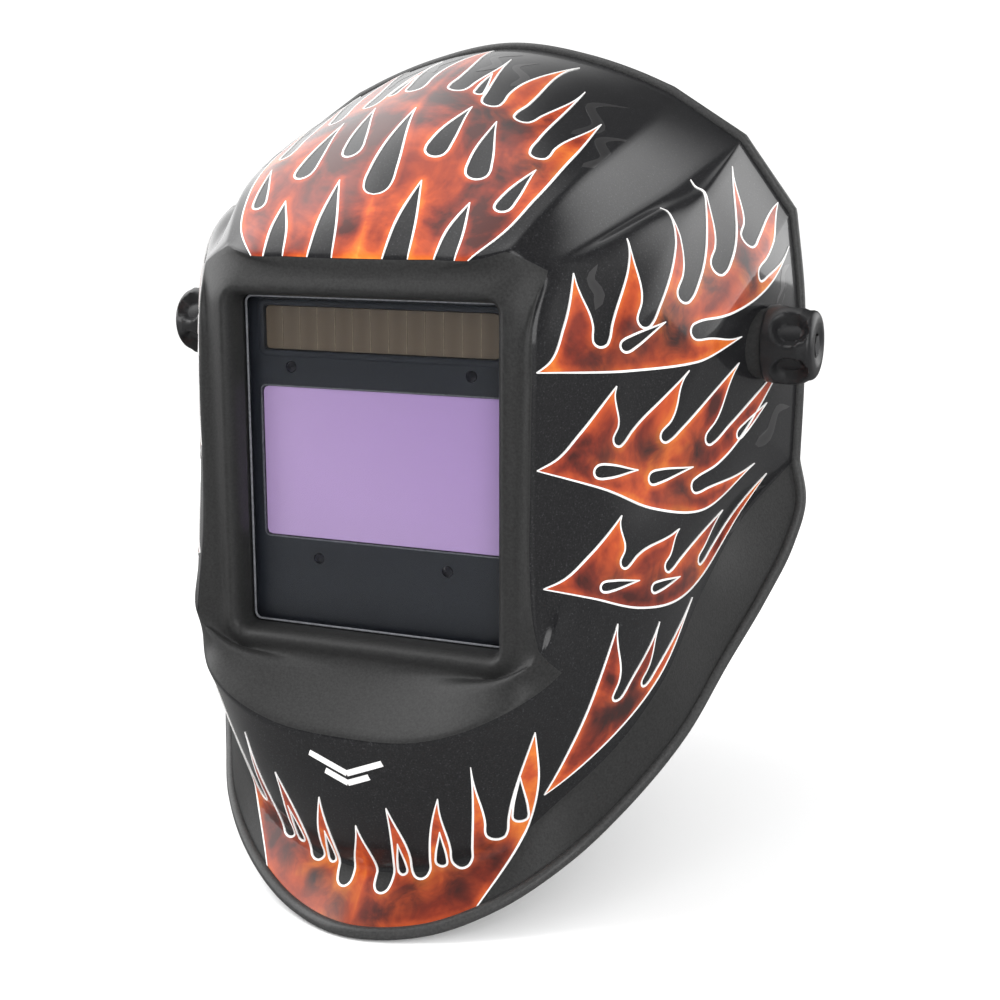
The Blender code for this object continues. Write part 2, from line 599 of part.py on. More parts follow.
def make_headband():
    band("headband_front", (-FRONT_SPAN, FRONT_SPAN), (0.0, BAND_THICK), brow_height, BAND_BLACK, 44)

    def tail_offsets(sign):
        lift = TAIL_LAYER if sign > 0 else 2 * TAIL_LAYER

        def offsets(angle):
            spread = abs(angle - 180.0)
            far = min(1.0, max(0.0, (spread - 30.0) / 25.0))
            base = lift + (TAIL_LAYER - lift) * far
            return (base, base + BAND_THICK)
        return offsets

    for sign in (1, -1):
        low, high = (106.0, 194.0) if sign > 0 else (166.0, 254.0)
        tail = band("rear_band_" + side_name(sign), (low, high), tail_offsets(sign),
                    (-HALF_BAND + 2, HALF_BAND - 2), BAND_BLACK, 22)
        cut(tail, block("tail_slot_" + side_name(sign), (-17.0, NAPE - 12, -5.0), (17.0, NAPE + 14, 5.0),
                        BAND_BLACK, head))

    left_arc, right_arc = (STRAP_ENDS[0], STRAP_OVERLAP[1]), (STRAP_OVERLAP[0], STRAP_ENDS[1])
    arch("crown_strap_left", FRONT_ARCH_Y, left_arc, *FRONT_ARCH, 0.0, BAND_BLACK)
    arch("crown_strap_right", FRONT_ARCH_Y, right_arc, *FRONT_ARCH, STRAP_LAYER, BAND_BLACK)
    arch("crown_strap_rear", REAR_ARCH_Y, STRAP_ENDS, *REAR_ARCH, 0.0, BAND_BLACK, 20)
    band("sweatband", (-72.0, 72.0), (-6.3, -GAP), (-14.0, 14.0), FABRIC, 24)
    band("rear_pad", (150.0, 210.0), (-8.6, -2.6), (-17.0, 17.0), FABRIC, 14)


def make_ratchet():
    """Ratchet at the nape: inner cover, housing over the tails, pinion in their slots, knob."""
    outside = 3 * TAIL_LAYER + GAP
    band("ratchet_cover", RATCHET_SPAN, (-2.2, -GAP), RATCHET_HEIGHT, BAND_BLACK, 10)
    housing = band("ratchet_housing", RATCHET_SPAN, (outside, outside + 5.0), RATCHET_HEIGHT, BAND_BLACK, 10)
    cut(housing, turned("knob_bore", [(NAPE + 6, 0.0), (NAPE + 6, 5.0), (NAPE + 20, 5.0), (NAPE + 20, 0.0)],
                        (0, 0, 0), BAND_BLACK, head, axis="Y"))

    def teeth(angle, along):
        return 1.0 + 0.10 * math.cos(8 * angle)

    turned("pinion", [(NAPE + 0.2, 0.0), (NAPE + 0.2, 4.2), (NAPE + 7.2, 4.2), (NAPE + 7.2, 0.0)],
           (0, 0, 0), STEEL, head, axis="Y", steps=32, squash=teeth)

    def grips(angle, along):
        return 1.0 - 0.06 * (1 - math.cos(10 * angle)) / 2

    start = NAPE + 7.5
    turned("ratchet_knob",
           [(start, 0.0), (start, 4.4), (NAPE + outside + 5.4, 4.4), (NAPE + outside + 5.4, 17.0),
            (NAPE + outside + 16.0, 16.0), (NAPE + outside + 18.0, 13.5), (NAPE + outside + 18.0, 0.0)],
           (0, 0, 0), KNOB_BLACK, head, axis="Y", steps=40, squash=lambda a, x: grips(a, x) if x > start else 1.0)


# ---- pivots -------------------------------------------------------------------------------
PLATE_INNER = HEAD_HALF[0] + BAND_THICK + 3.2
PLATE_THICK = 2.4
ARM_INNER = PLATE_INNER + PLATE_THICK + GAP
ARM_THICK = 3.4
HUB_INNER = 104.5
HUB_OUTER = 110.0
HUB_RADIUS = 12.0
ARM_HALF_HEIGHT = 8.0


def arm_outline(sign, pivot):
    """Plan outline of an arm in the head frame: carriage beside the band, bend, and hub strap."""
    start, end = Vector((ARM_INNER, SLIDE_Y + 12.0)), Vector((HUB_INNER + 1.2, pivot.y))
    lead, reach = 20.0, 16.0
    middle = [start, start - Vector((0, reach)), end + Vector((0.0, lead)), end - Vector((0, 4.0))]
    inner, outer = [], []
    steps = 12
    for i in range(steps + 1):
        t = i / steps
        weights = ((1 - t) ** 3, 3 * t * (1 - t) ** 2, 3 * t * t * (1 - t), t ** 3)
        point = sum((w * m for w, m in zip(weights, middle)), Vector((0, 0)))
        rates = (-(1 - t) ** 2, (1 - t) * (1 - 3 * t), t * (2 - 3 * t), t * t)
        along = sum((w * m for w, m in zip(rates, middle)), Vector((0, 0))).normalized()
        normal = Vector((-along.y, along.x))
        inner.append(point)
        outer.append(point + normal * ARM_THICK)
    return [(sign * p.x, p.y) for p in inner + outer[::-1]]


def make_pivots():
    to_head = (Matrix.Translation(HEAD_CENTRE) @ Matrix.Rotation(HEAD_TILT, 4, "X")).inverted()
    pivot = to_head @ Vector((0.0, 0.0, 0.0))
    for sign in (1, -1):
        tag = side_name(sign)
        low_x, high_x = sorted((sign * PLATE_INNER, sign * (PLATE_INNER + PLATE_THICK)))
        block("slide_plate_" + tag, (low_x, SLIDE_Y - 30, -10.0), (high_x, SLIDE_Y + 30, 10.0),
              BAND_BLACK, head, edge=0.6)
        low_x, high_x = sorted((sign * (HEAD_HALF[0] + BAND_THICK + GAP), sign * (PLATE_INNER - GAP)))
        block("plate_mount_" + tag, (low_x, SLIDE_Y - 9, -7.0), (high_x, SLIDE_Y + 9, 7.0), BAND_BLACK, head)

        arm = prism("pivot_arm_" + tag, [arm_outline(sign, pivot)],
                    (pivot.z - ARM_HALF_HEIGHT, pivot.z + ARM_HALF_HEIGHT), BAND_BLACK, "Z", head)
        hub = turned("hub_" + tag, [(sign * HUB_INNER, 0.0), (sign * HUB_INNER, HUB_RADIUS),
                                    (sign * HUB_OUTER, HUB_RADIUS), (sign * HUB_OUTER, 0.0)],
                     pivot, BAND_BLACK, head)
        join_with(arm, hub)
        cut(arm, turned("hub_bore_" + tag, [(sign * (HUB_INNER - 3), 0.0), (sign * (HUB_INNER - 3), 4.4),
                                            (sign * (HUB_OUTER + 3), 4.4), (sign * (HUB_OUTER + 3), 0.0)],
                        pivot, BAND_BLACK, head))

        make_bolt("pivot_bolt_" + tag, sign)
        make_washer("friction_washer_" + tag, sign, HUB_OUTER + GAP, PIVOT_X - BOSS_DEPTH - GAP,
                    FRICTION_WASHER_RADIUS)
        near = PIVOT_X + GAP
        make_washer("outer_washer_" + tag, sign, near, near + OUTER_WASHER[1], OUTER_WASHER[0])
        make_tension_knob(sign, tag)


def make_bolt(name, sign):
    """Bolt from a flat head inside the arm's hub out into the tension knob."""
    radius, thick = BOLT_HEAD
    seat = HUB_INNER - GAP
    end = PIVOT_X + KNOB_LENGTH - BOLT_SHORT
    profile = [(seat - thick, 0.0), (seat - thick, radius), (seat, radius), (seat, BOLT_RADIUS),
               (end, BOLT_RADIUS), (end, 0.0)]
    turned(name, [(sign * x, r) for x, r in profile], (0, 0, 0), STEEL)


def make_washer(name, sign, near, far, radius):
    profile = [(near, WASHER_BORE), (near, radius), (far, radius), (far, WASHER_BORE)]
    turned(name, [(sign * x, r) for x, r in profile], (0, 0, 0), RUBBER)


def make_tension_knob(sign, tag):
    """Knob with three scooped flanks, bored for the bolt and for the hexagonal insert."""
    base = PIVOT_X + KNOB_SETBACK
    end = base + KNOB_LENGTH

    def scoops(angle, along):
        depth = math.sin(math.pi * min(1.0, max(0.0, (abs(along) - base - 1.0) / (KNOB_LENGTH - 4.0))))
        return 1.0 - 0.20 * depth * max(0.0, math.cos(3 * angle + math.pi / 2)) ** 2

    stations = [(base, 4.4), (base, 13.0), (base + 1.5, 14.2), (base + 4, 15.2), (base + 8, KNOB_RADIUS),
                (base + 12, 15.2), (base + 15, 13.8), (end, 10.5), (end, 4.7), (end - 5.0, 4.7),
                (end - 5.0, 4.4)]
    turned("tension_knob_" + tag, [(sign * x, r) for x, r in stations], (0, 0, 0), KNOB_BLACK,
           steps=36, squash=lambda a, x: scoops(a, x) if abs(x) > base and abs(x) < end else 1.0)
    turned("knob_nut_" + tag, [(sign * (end - 4.7), 0.0), (sign * (end - 4.7), 4.3), (sign * (end - 0.6), 4.3),
                               (sign * (end - 0.6), 0.0)], (0, 0, 0), STEEL, steps=6)


make_shell()
make_cassette()
make_lens_holder()
make_headband()
make_ratchet()
make_pivots()
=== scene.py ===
"""Looks of the welding helmet: moulded shell, flame paint with raised pinstripes, filter
cassette, knobs and headgear, then the floor, the lights and the camera.

Lengths are in millimetres.  Shell shapes are measured from the centre of the lens opening,
X to the wearer's left, Y to the back and Z up; meshes are written in metres.
"""
import math

import bmesh
import bpy
import numpy as np
from mathutils import Matrix, Vector, geometry, interpolate
from mathutils.bvhtree import BVHTree


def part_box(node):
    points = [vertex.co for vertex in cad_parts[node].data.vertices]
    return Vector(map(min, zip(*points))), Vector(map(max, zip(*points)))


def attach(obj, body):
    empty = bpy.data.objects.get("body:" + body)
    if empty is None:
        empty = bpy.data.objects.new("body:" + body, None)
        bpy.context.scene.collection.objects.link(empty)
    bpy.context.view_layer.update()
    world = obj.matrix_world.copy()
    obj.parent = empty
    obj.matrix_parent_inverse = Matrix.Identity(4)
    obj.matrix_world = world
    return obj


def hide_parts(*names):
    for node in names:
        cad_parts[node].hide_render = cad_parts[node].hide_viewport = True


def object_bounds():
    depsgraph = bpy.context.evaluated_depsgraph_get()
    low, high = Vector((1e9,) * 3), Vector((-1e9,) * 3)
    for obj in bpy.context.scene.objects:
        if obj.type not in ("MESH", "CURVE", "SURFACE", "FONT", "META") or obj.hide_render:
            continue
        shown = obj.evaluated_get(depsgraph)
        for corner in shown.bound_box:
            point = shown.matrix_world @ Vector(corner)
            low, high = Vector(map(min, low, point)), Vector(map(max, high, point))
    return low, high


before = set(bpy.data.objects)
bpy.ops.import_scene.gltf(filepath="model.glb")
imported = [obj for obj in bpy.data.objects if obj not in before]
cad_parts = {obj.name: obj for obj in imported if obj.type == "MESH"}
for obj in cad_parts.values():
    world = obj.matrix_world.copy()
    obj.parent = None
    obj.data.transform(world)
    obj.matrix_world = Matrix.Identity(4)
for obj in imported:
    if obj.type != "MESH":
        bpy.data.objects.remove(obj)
cad_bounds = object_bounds()

MM = 0.001
LENS_SETBACK = 7.3               # the cover lens lies this far behind the opening's front edge
WALL = 2.2


def opening_centre():
    """Centre of the lens opening's front edge, in metres, from the cover lens behind it."""
    low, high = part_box("front_cover_lens")
    return Vector(((low.x + high.x) / 2, low.y - LENS_SETBACK * MM, (low.z + high.z) / 2))


OPENING = opening_centre()


# ---- curves and skins ---------------------------------------------------------------------
MIRROR = np.array((-1.0, 1.0, 1.0))


def tangents(points):
    """Slopes of a smooth curve through points, with the chord length as its parameter."""
    chord = np.maximum(np.linalg.norm(np.diff(points, axis=0), axis=1), 1e-6)
    slope = np.diff(points, axis=0) / chord[:, None]
    inner = (chord[1:, None] * slope[:-1] + chord[:-1, None] * slope[1:]) / (chord[1:] + chord[:-1])[:, None]
    return np.vstack([slope[:1], inner, slope[-1:]]), chord


def curve_point(points, slopes, chord, span, t):
    """Cubic Hermite point on one span, t from 0 to 1."""
    a, b = points[span], points[span + 1]
    ta, tb = slopes[span] * chord[span], slopes[span + 1] * chord[span]
    return ((2 * t ** 3 - 3 * t ** 2 + 1) * a + (t ** 3 - 2 * t ** 2 + t) * ta
            + (3 * t ** 2 - 2 * t ** 3) * b + (t ** 3 - t ** 2) * tb)


def rail(sections, counts, ends_on_centre=False):
    """Sample one smooth curve.  Each section of points ends where the next begins, and is
    cut into its own count of equal chord steps.  A curve that ends on the centre plane
    crosses it square."""
    points = [np.array(p, float) for section in sections for p in section]
    last = len(points) - 1
    if ends_on_centre:
        points.append(points[-2] * MIRROR)
    points = np.array(points)
    slopes, chord = tangents(points)
    reach = np.concatenate([[0.0], np.cumsum(chord)])
    samples, start = [points[0]], 0
    for section, count in zip(sections, counts):
        end = (start + len(section) - 1) if start == 0 else (start + len(section))
        for distance in np.linspace(reach[start], reach[end], count + 1)[1:]:
            span = min(int(np.searchsorted(reach, distance, side="left")) - 1, last - 1)
            span = max(span, 0)
            t = (distance - reach[span]) / chord[span]
            samples.append(curve_point(points, slopes, chord, span, t))
        start = end
    return np.array(samples)


def skin(rails, counts, before=None):
    """Grid of points through rails that have the same number of stations.  counts gives the
    steps between neighbouring rails; before only steers the slope at the first rail."""
    rows = []
    offset = 0 if before is None else 1
    steering = [before] * offset + list(rails)
    for station in range(len(rails[0])):
        across = np.array([r[station] for r in steering])
        slopes, chord = tangents(across)
        row = [across[offset]]
        for k, count in enumerate(counts):
            for i in range(1, count + 1):
                row.append(curve_point(across, slopes, chord, offset + k, i / count))
        rows.append(row)
    return np.array(rows)


def smooth_run(points, spacing):
    """Sample a smooth curve through flat points, about every spacing millimetres."""
    points = np.array(points, float)
    slopes, chord = tangents(points)
    samples = [points[0]]
    for span in range(len(chord)):
        count = max(1, int(math.ceil(chord[span] / spacing)))
        for i in range(1, count + 1):
            samples.append(curve_point(points, slopes, chord, span, i / count))
    return np.array(samples)


# ---- the shell's outline, from the same curves as the CAD part ---------------------------------
DOME_CENTRE = [(0, -4, 77), (0, 5, 92), (0, 30, 120), (0, 70, 142), (0, 105, 153), (0, 137, 158)]
DOME_MIDDLE = [(28, -4, 77.3), (29, 5, 90), (33, 30, 113.5), (36, 70, 133.8), (36.5, 105, 145.5),
               (36, 137, 152)]
DOME_SIDE = [(48, -3.5, 78), (50, 5, 87.4), (54, 30, 107), (57, 70, 124.2), (58, 105, 136), (57, 137, 145)]
DOME_CREASE = [(56, 0, 81), (65, 25, 98), (71.5, 66, 115), (73, 105, 128), (71, 137, 139)]
SHOULDER = [(68.7, 5.5, 75), (78, 36, 85), (87, 70, 97), (101, 137, 120)]
BEZEL_SIDE = [(68.7, 5.5, 75), (66.5, -2.5, 62), (66.7, -4.5, 40), (66.5, -5, 0), (67, -6, -30),
              (69, -7, -48), (71.3, -5.5, -59.5)]
CHEEK_MIDDLE = ([(101, 137, 120), (95.6, 90, 101.5), (82.8, 27, 75)],
                [(78.8, 15.5, 51), (76.3, 9.5, 23), (74.3, 6, -5), (72.4, -1, -40), (71.3, -5.5, -59.5)])
UPPER_CREASE = ([(101, 137, 120), (100.5, 90, 100), (97, 48.5, 75)],
                [(91, 33, 50), (86, 24, 21), (82, 17, -7), (76.5, 4.5, -41.5), (71.3, -5.5, -59.5)],
                [(61, -8.5, -67.5), (45, -8.5, -72.5), (24, -7.5, -76.5), (0, -7, -78)])
LOWER_CREASE = ([(122, 137, 91.5), (117, 85, 65.5), (108.5, 62, 42)],
                [(100, 50, 18.5), (94.5, 45, 0), (90.5, 29, -23), (85, 18, -46.5), (75.5, 4, -68)],
                [(60.5, -14, -80), (50, -18.5, -85.5), (32, -21, -92), (0, -21, -95)])
PANEL_MIDDLE = ([(122, 137, 91.5), (122.5, 111, 61), (119.5, 99, 38.5)],
                [(116, 93, 16), (113.5, 90, -4), (104.5, 67, -27), (98, 47, -50.5), (88.5, 28, -77)],
                [(74.5, 12, -92.5), (61, -0.5, -104), (42, -9, -117.5), (21, -13.5, -122.5),
                 (0, -15, -124.5)])
SIDE_RIM = [(122, 137, 91.5), (126.5, 137, 57), (127.5, 137, 23), (127, 137, -9)]
FILLET = [(127, 137, -9), (112, 108, -30), (105, 80, -53), (97, 55, -84), (86, 40, -104), (69, 20, -123),
          (50, 8, -141), (26, -1, -150), (0, -4, -153)]
FLANGE_EDGE = [(127, 137, -9), (130.5, 135, -25), (128, 127, -42), (121, 112, -62), (111.5, 92, -84),
               (102, 65, -108), (86.5, 38.7, -130.5), (73.5, 19.3, -144), (51, 0, -160), (28, -12, -169),
               (0, -20, -171)]
OPENING_HALF = (53.2, 62.9)
OPENING_RADIUS = 3.0
OPENING_DEPTH = 7.0
# Bead round the lens opening, as (distance outside the opening, depth behind its front edge).
BEZEL_BEAD = ((0.0, 0.0), (0.9, -2.8), (3.0, -4.9), (5.4, -4.3), (7.6, -3.4))

FINENESS = 9                     # every count of steps is this many times the CAD's
DOME_STEPS = 8 * FINENESS
SIDE_STEPS = 10 * FINENESS
CHIN_STEPS = 8 * FINENESS
RIM_STEPS = 10 * FINENESS
DOME_ACROSS = (12, 12, 12)
FACET_ACROSS = 9
CORNER_STEPS = 6                 # in each rounded corner of the opening and of the cassette's rings


def opening_ring(outset, depth):
    """Half of a rounded rectangle round the lens opening, from top centre to bottom centre."""
    half_x, half_z = OPENING_HALF[0] + outset, OPENING_HALF[1] + outset
    radius = OPENING_RADIUS + outset

    def corner_and_flat(steps):
        flat = steps - CORNER_STEPS
        points = [((half_x - radius) * i / flat, half_z) for i in range(flat)]
        for i in range(CORNER_STEPS + 1):
            angle = math.pi / 2 * (1 - i / CORNER_STEPS)
            points.append((half_x - radius + radius * math.cos(angle),
                           half_z - radius + radius * math.sin(angle)))
        return points

    ring = corner_and_flat(sum(DOME_ACROSS) + FACET_ACROSS)
    drop = 2 * (half_z - radius)
    ring += [(half_x, half_z - radius - drop * i / SIDE_STEPS) for i in range(1, SIDE_STEPS)]
    ring += [(x, -z) for x, z in corner_and_flat(CHIN_STEPS)[::-1]]
    return np.array([(x, depth, z) for x, z in ring])


def shell_grids():
    """Every skin of the shell's wearer's-left half, outer face, and its rear border."""
    centre = rail([DOME_CENTRE], [DOME_STEPS])
    middle = rail([DOME_MIDDLE], [DOME_STEPS])
    side = rail([DOME_SIDE], [DOME_STEPS])
    crease = rail([DOME_CREASE], [DOME_STEPS])
    shoulder = rail([SHOULDER], [DOME_STEPS])
    counts = (DOME_STEPS, SIDE_STEPS, CHIN_STEPS)
    upper = rail(UPPER_CREASE, counts, ends_on_centre=True)
    lower = rail(LOWER_CREASE, counts, ends_on_centre=True)
    dome = skin([centre, middle, side, crease], DOME_ACROSS, before=middle * MIRROR)
    facet = skin([crease, shoulder], (FACET_ACROSS,))
    cheek_middle = rail(CHEEK_MIDDLE, counts[:2])
    corner = skin([shoulder, cheek_middle[:DOME_STEPS + 1][::-1], upper[:DOME_STEPS + 1][::-1]], (6, 6))

    bezel_side = rail([BEZEL_SIDE], [SIDE_STEPS])
    side_crease = upper[DOME_STEPS:DOME_STEPS + SIDE_STEPS + 1]
    chin_crease = upper[DOME_STEPS + SIDE_STEPS:]
    outer = np.vstack([dome[0], facet[0][1:], bezel_side[1:], chin_crease[1:]])
    bead = [opening_ring(*place) for place in BEZEL_BEAD]
    bezel = skin([*bead, outer], (3, 4, 4, 3, 4))
    well = skin([opening_ring(0.0, OPENING_DEPTH), bead[0]], (3,))
    cheek = skin([bezel_side, cheek_middle[DOME_STEPS:], side_crease], (6, 6))

    total = sum(counts)
    rim = rail([SIDE_RIM], [RIM_STEPS])
    fillet = rail([FILLET], [total - RIM_STEPS], ends_on_centre=True)
    border = np.vstack([rim, fillet[1:]])
    panel_middle = rail(PANEL_MIDDLE, counts, ends_on_centre=True)
    strip = skin([upper, lower], (8,))
    panel = skin([lower, panel_middle, border], (18, 18))
    flange_edge = rail([FLANGE_EDGE], [total - RIM_STEPS], ends_on_centre=True)
    flange = skin([fillet, flange_edge], (8,))
    edge = np.vstack([dome[-1], facet[-1][1:], strip[0][1:], rim[1:], flange_edge[1:]])
    chin_start = DOME_STEPS + SIDE_STEPS
    gloss = [dome, facet, corner, cheek, strip[:chin_start + 1], panel]
    satin = [bezel, well, flange, strip[chin_start:]]
    return gloss, satin, edge, dome


GLOSS_GRIDS, SATIN_GRIDS, REAR_BORDER, DOME_GRID = shell_grids()


# ---- materials ----------------------------------------------------------------------------
class Nodes:
    """Short way to write a node tree that ends in a Principled shader."""

    def __init__(self, name, colour, roughness, **sockets):
        self.material = bpy.data.materials.new(name)
        self.material.use_nodes = True
        self.tree = self.material.node_tree
        self.shader = self.tree.nodes["Principled BSDF"]
        self.set("Base Color", (*colour, 1.0))
        self.set("Roughness", roughness)
        for socket, value in sockets.items():
            self.set(socket.replace("_", " "), value)
        self.place = self.add("ShaderNodeTexCoord").outputs["Object"]

    def set(self, socket, value):
        self.shader.inputs[socket].default_value = value

    def add(self, kind, **settings):
        node = self.tree.nodes.new(kind)
        for key, value in settings.items():
            setattr(node, key, value)
        return node

    def link(self, output, socket):
        self.tree.links.new(output, socket)

    def noise(self, scale, detail=3.0, rough=0.55, distortion=0.0):
        node = self.add("ShaderNodeTexNoise")
        node.inputs["Scale"].default_value = scale
        node.inputs["Detail"].default_value = detail
        node.inputs["Roughness"].default_value = rough
        node.inputs["Distortion"].default_value = distortion
        self.link(self.place, node.inputs["Vector"])
        return node.outputs["Fac"]

    def bands(self, scale, distortion, direction):
        node = self.add("ShaderNodeTexWave", wave_type="BANDS", bands_direction=direction)
        node.inputs["Scale"].default_value = scale
        node.inputs["Distortion"].default_value = distortion
        self.link(self.place, node.inputs["Vector"])
        return node.outputs

    def attribute(self, name):
        return self.add("ShaderNodeAttribute", attribute_name=name).outputs["Fac"]

    def ramp(self, source, stops):
        """Colour ramp; stops are (position, grey or colour)."""
        node = self.add("ShaderNodeValToRGB")
        ramp = node.color_ramp
        for position, value in stops[2:]:
            ramp.elements.new(position)
        for element, (position, value) in zip(ramp.elements, sorted(stops, key=lambda s: s[0])):
            element.position = position
            colour = value if isinstance(value, tuple) else (value, value, value)
            element.color = (*colour, 1.0)
        self.link(source, node.inputs["Fac"])
        return node.outputs["Color"]

    def maths(self, operation, first, second):
        node = self.add("ShaderNodeMath", operation=operation)
        for socket, value in zip(node.inputs, (first, second)):
            if isinstance(value, (int, float)):
                socket.default_value = value
            else:
                self.link(value, socket)
        return node.outputs[0]

    def mix(self, factor, first, second, blend="MIX"):
        node = self.add("ShaderNodeMix", data_type="RGBA", blend_type=blend)
        for socket, value in ((node.inputs[0], factor), (node.inputs[6], first), (node.inputs[7], second)):
            if isinstance(value, tuple):
                socket.default_value = (*value, 1.0)
            elif isinstance(value, (int, float)):
                socket.default_value = value
            else:
                self.link(value, socket)
        return node.outputs[2]

    def colour(self, source):
        self.link(source, self.shader.inputs["Base Color"])

    def roughness(self, source):
        self.link(source, self.shader.inputs["Roughness"])

    def bump(self, source, strength, distance):
        node = self.add("ShaderNodeBump")
        node.inputs["Strength"].default_value = strength
        node.inputs["Distance"].default_value = distance
        self.link(source, node.inputs["Height"])
        self.link(node.outputs["Normal"], self.shader.inputs["Normal"])


SPRAY_GRAIN = 1500.0             # scale of the fine grain in the sprayed finishes
CLEAR_COAT = {"Coat_Weight": 0.8, "Coat_Roughness": 0.07, "Specular_IOR_Level": 0.25}


def shell_gloss():
    n = Nodes("shell_gloss", (0.012, 0.012, 0.013), 0.36, **CLEAR_COAT)
    grain = n.noise(SPRAY_GRAIN, 2.0, 0.7)
    n.colour(n.ramp(grain, [(0.35, (0.006, 0.006, 0.007)), (0.62, (0.013, 0.013, 0.014)),
                            (0.78, (0.060, 0.060, 0.066))]))
    n.roughness(n.ramp(n.noise(9.0, 4.0), [(0.3, 0.30), (0.7, 0.40)]))
    n.bump(grain, 0.25, 0.00008)
    return n.material


def satin_black(name="satin_black", base=0.017, rough=0.48, grain=1100.0):
    """Spark-eroded moulding texture."""
    n = Nodes(name, (base, base, base), rough, Specular_IOR_Level=0.5)
    pebble = n.noise(grain, 2.0, 0.6)
    n.colour(n.ramp(pebble, [(0.3, base * 0.8), (0.7, base * 1.5)]))
    n.roughness(n.ramp(n.noise(14.0, 4.0), [(0.3, rough - 0.06), (0.7, rough + 0.07)]))
    n.bump(pebble, 0.5, 0.00012)
    return n.material


def flame_paint():
    n = Nodes("flame_paint", (0.5, 0.06, 0.02), 0.36, **CLEAR_COAT)
    cloud = n.noise(26.0, 5.0, 0.55, 0.6)
    wisps = n.noise(75.0, 4.0, 0.6, 1.5)
    heat = n.maths("ADD", n.attribute("heat"), n.maths("MULTIPLY", n.maths("SUBTRACT", cloud, 0.40), 1.5))
    heat = n.maths("ADD", heat, n.ramp(n.attribute("edge"), [(0.0, 0.20), (0.5, 0.0)]))
    heat = n.maths("ADD", heat, n.maths("MULTIPLY", n.maths("SUBTRACT", wisps, 0.5), 0.22))
    glow = n.ramp(heat, [(0.0, (0.060, 0.010, 0.007)), (0.14, (0.21, 0.024, 0.010)),
                         (0.32, (0.46, 0.066, 0.015)), (0.54, (0.68, 0.175, 0.022)),
                         (0.78, (0.90, 0.42, 0.065)), (0.96, (0.98, 0.66, 0.22))])
    smoke = n.maths("MULTIPLY", n.attribute("smoke"), n.ramp(wisps, [(0.35, 1.0), (0.7, 0.45)]))
    n.colour(n.mix(smoke, glow, (0.030, 0.014, 0.013)))
    n.bump(n.noise(SPRAY_GRAIN, 2.0, 0.7), 0.15, 0.00006)
    return n.material


def pinstripe_paint():
    n = Nodes("pinstripe_paint", (0.86, 0.85, 0.83), 0.32, Coat_Weight=0.6, Coat_Roughness=0.08)
    n.colour(n.ramp(n.noise(60.0, 3.0), [(0.3, (0.74, 0.73, 0.72)), (0.6, (0.90, 0.89, 0.88))]))
    n.roughness(n.ramp(n.noise(300.0, 3.0), [(0.3, 0.26), (0.7, 0.40)]))
    return n.material


def ghost_paint():
    """Smoke-grey licks that fade in and out under the clear coat."""
    n = Nodes("ghost_paint", (0.03, 0.03, 0.032), 0.34, Coat_Weight=0.75, Coat_Roughness=0.07)
    fade = n.maths("MULTIPLY", n.noise(22.0, 3.0), n.ramp(n.attribute("edge"), [(0.0, 1.0), (0.7, 0.25)]))
    n.colour(n.ramp(fade, [(0.15, (0.010, 0.010, 0.011)), (0.62, (0.036, 0.035, 0.036))]))
    n.bump(n.noise(SPRAY_GRAIN, 2.0, 0.7), 0.2, 0.00007)
    return n.material


def plain(name, colour, roughness, grain=900.0, contrast=0.25, bump=0.2, depth=0.00006, **sockets):
    """Moulded or machined finish: slight tone and gloss variation over a fine grain."""
    n = Nodes(name, colour, roughness, **sockets)
    dark = tuple(c * (1 - contrast) for c in colour)
    light = tuple(min(1.0, c * (1 + contrast)) for c in colour)
    fine = n.noise(grain, 2.0, 0.6)
    n.colour(n.ramp(fine, [(0.3, dark), (0.7, light)]))
    n.roughness(n.ramp(n.noise(35.0, 3.0), [(0.3, max(0.0, roughness - 0.05)), (0.7, roughness + 0.05)]))
    n.bump(fine, bump, depth)
    return n.material


def clear_polycarbonate():
    """Clear sheet: see-through, with a mirror's share of the light at its face."""
    n = Nodes("clear_polycarbonate", (1, 1, 1), 0.03)
    see = n.add("ShaderNodeBsdfTransparent")
    see.inputs["Color"].default_value = (0.97, 0.975, 0.98, 1.0)
    gloss = n.add("ShaderNodeBsdfGlossy")
    gloss.inputs["Roughness"].default_value = 0.03
    share = n.add("ShaderNodeFresnel")
    share.inputs["IOR"].default_value = 1.30
    blend = n.add("ShaderNodeMixShader")
    n.link(share.outputs[0], blend.inputs[0])
    n.link(see.outputs[0], blend.inputs[1])
    n.link(gloss.outputs[0], blend.inputs[2])
    n.link(blend.outputs[0], n.tree.nodes["Material Output"].inputs["Surface"])
    return n.material


def filter_glass():
    """Purple interference filter, with a painted sheen: a little paler in a broad slanting stripe."""
    n = Nodes("filter_purple", (0.39, 0.25, 0.52), 0.16, Coat_Weight=0.4, Coat_Roughness=0.05)
    # Painted sheen: diagonal waves make the purple paler across part of the window.
    painted_sheen_band = n.bands(1.6, 0.6, "DIAGONAL")["Fac"]
    n.colour(n.ramp(painted_sheen_band, [(0.1, (0.50, 0.33, 0.66)), (0.9, (0.60, 0.42, 0.74))]))
    n.roughness(n.ramp(n.noise(40.0), [(0.3, 0.12), (0.7, 0.20)]))
    return n.material


def solar_cells():
    n = Nodes("solar_brown", (0.105, 0.078, 0.052), 0.28, Coat_Weight=0.5, Coat_Roughness=0.05)
    streak = n.bands(42.5, 0.0, "X")["Color"]
    tone = n.mix(n.noise(120.0), streak, (0.5, 0.5, 0.5))
    n.colour(n.ramp(tone, [(0.2, (0.125, 0.092, 0.062)), (0.8, (0.155, 0.116, 0.080))]))
    return n.material


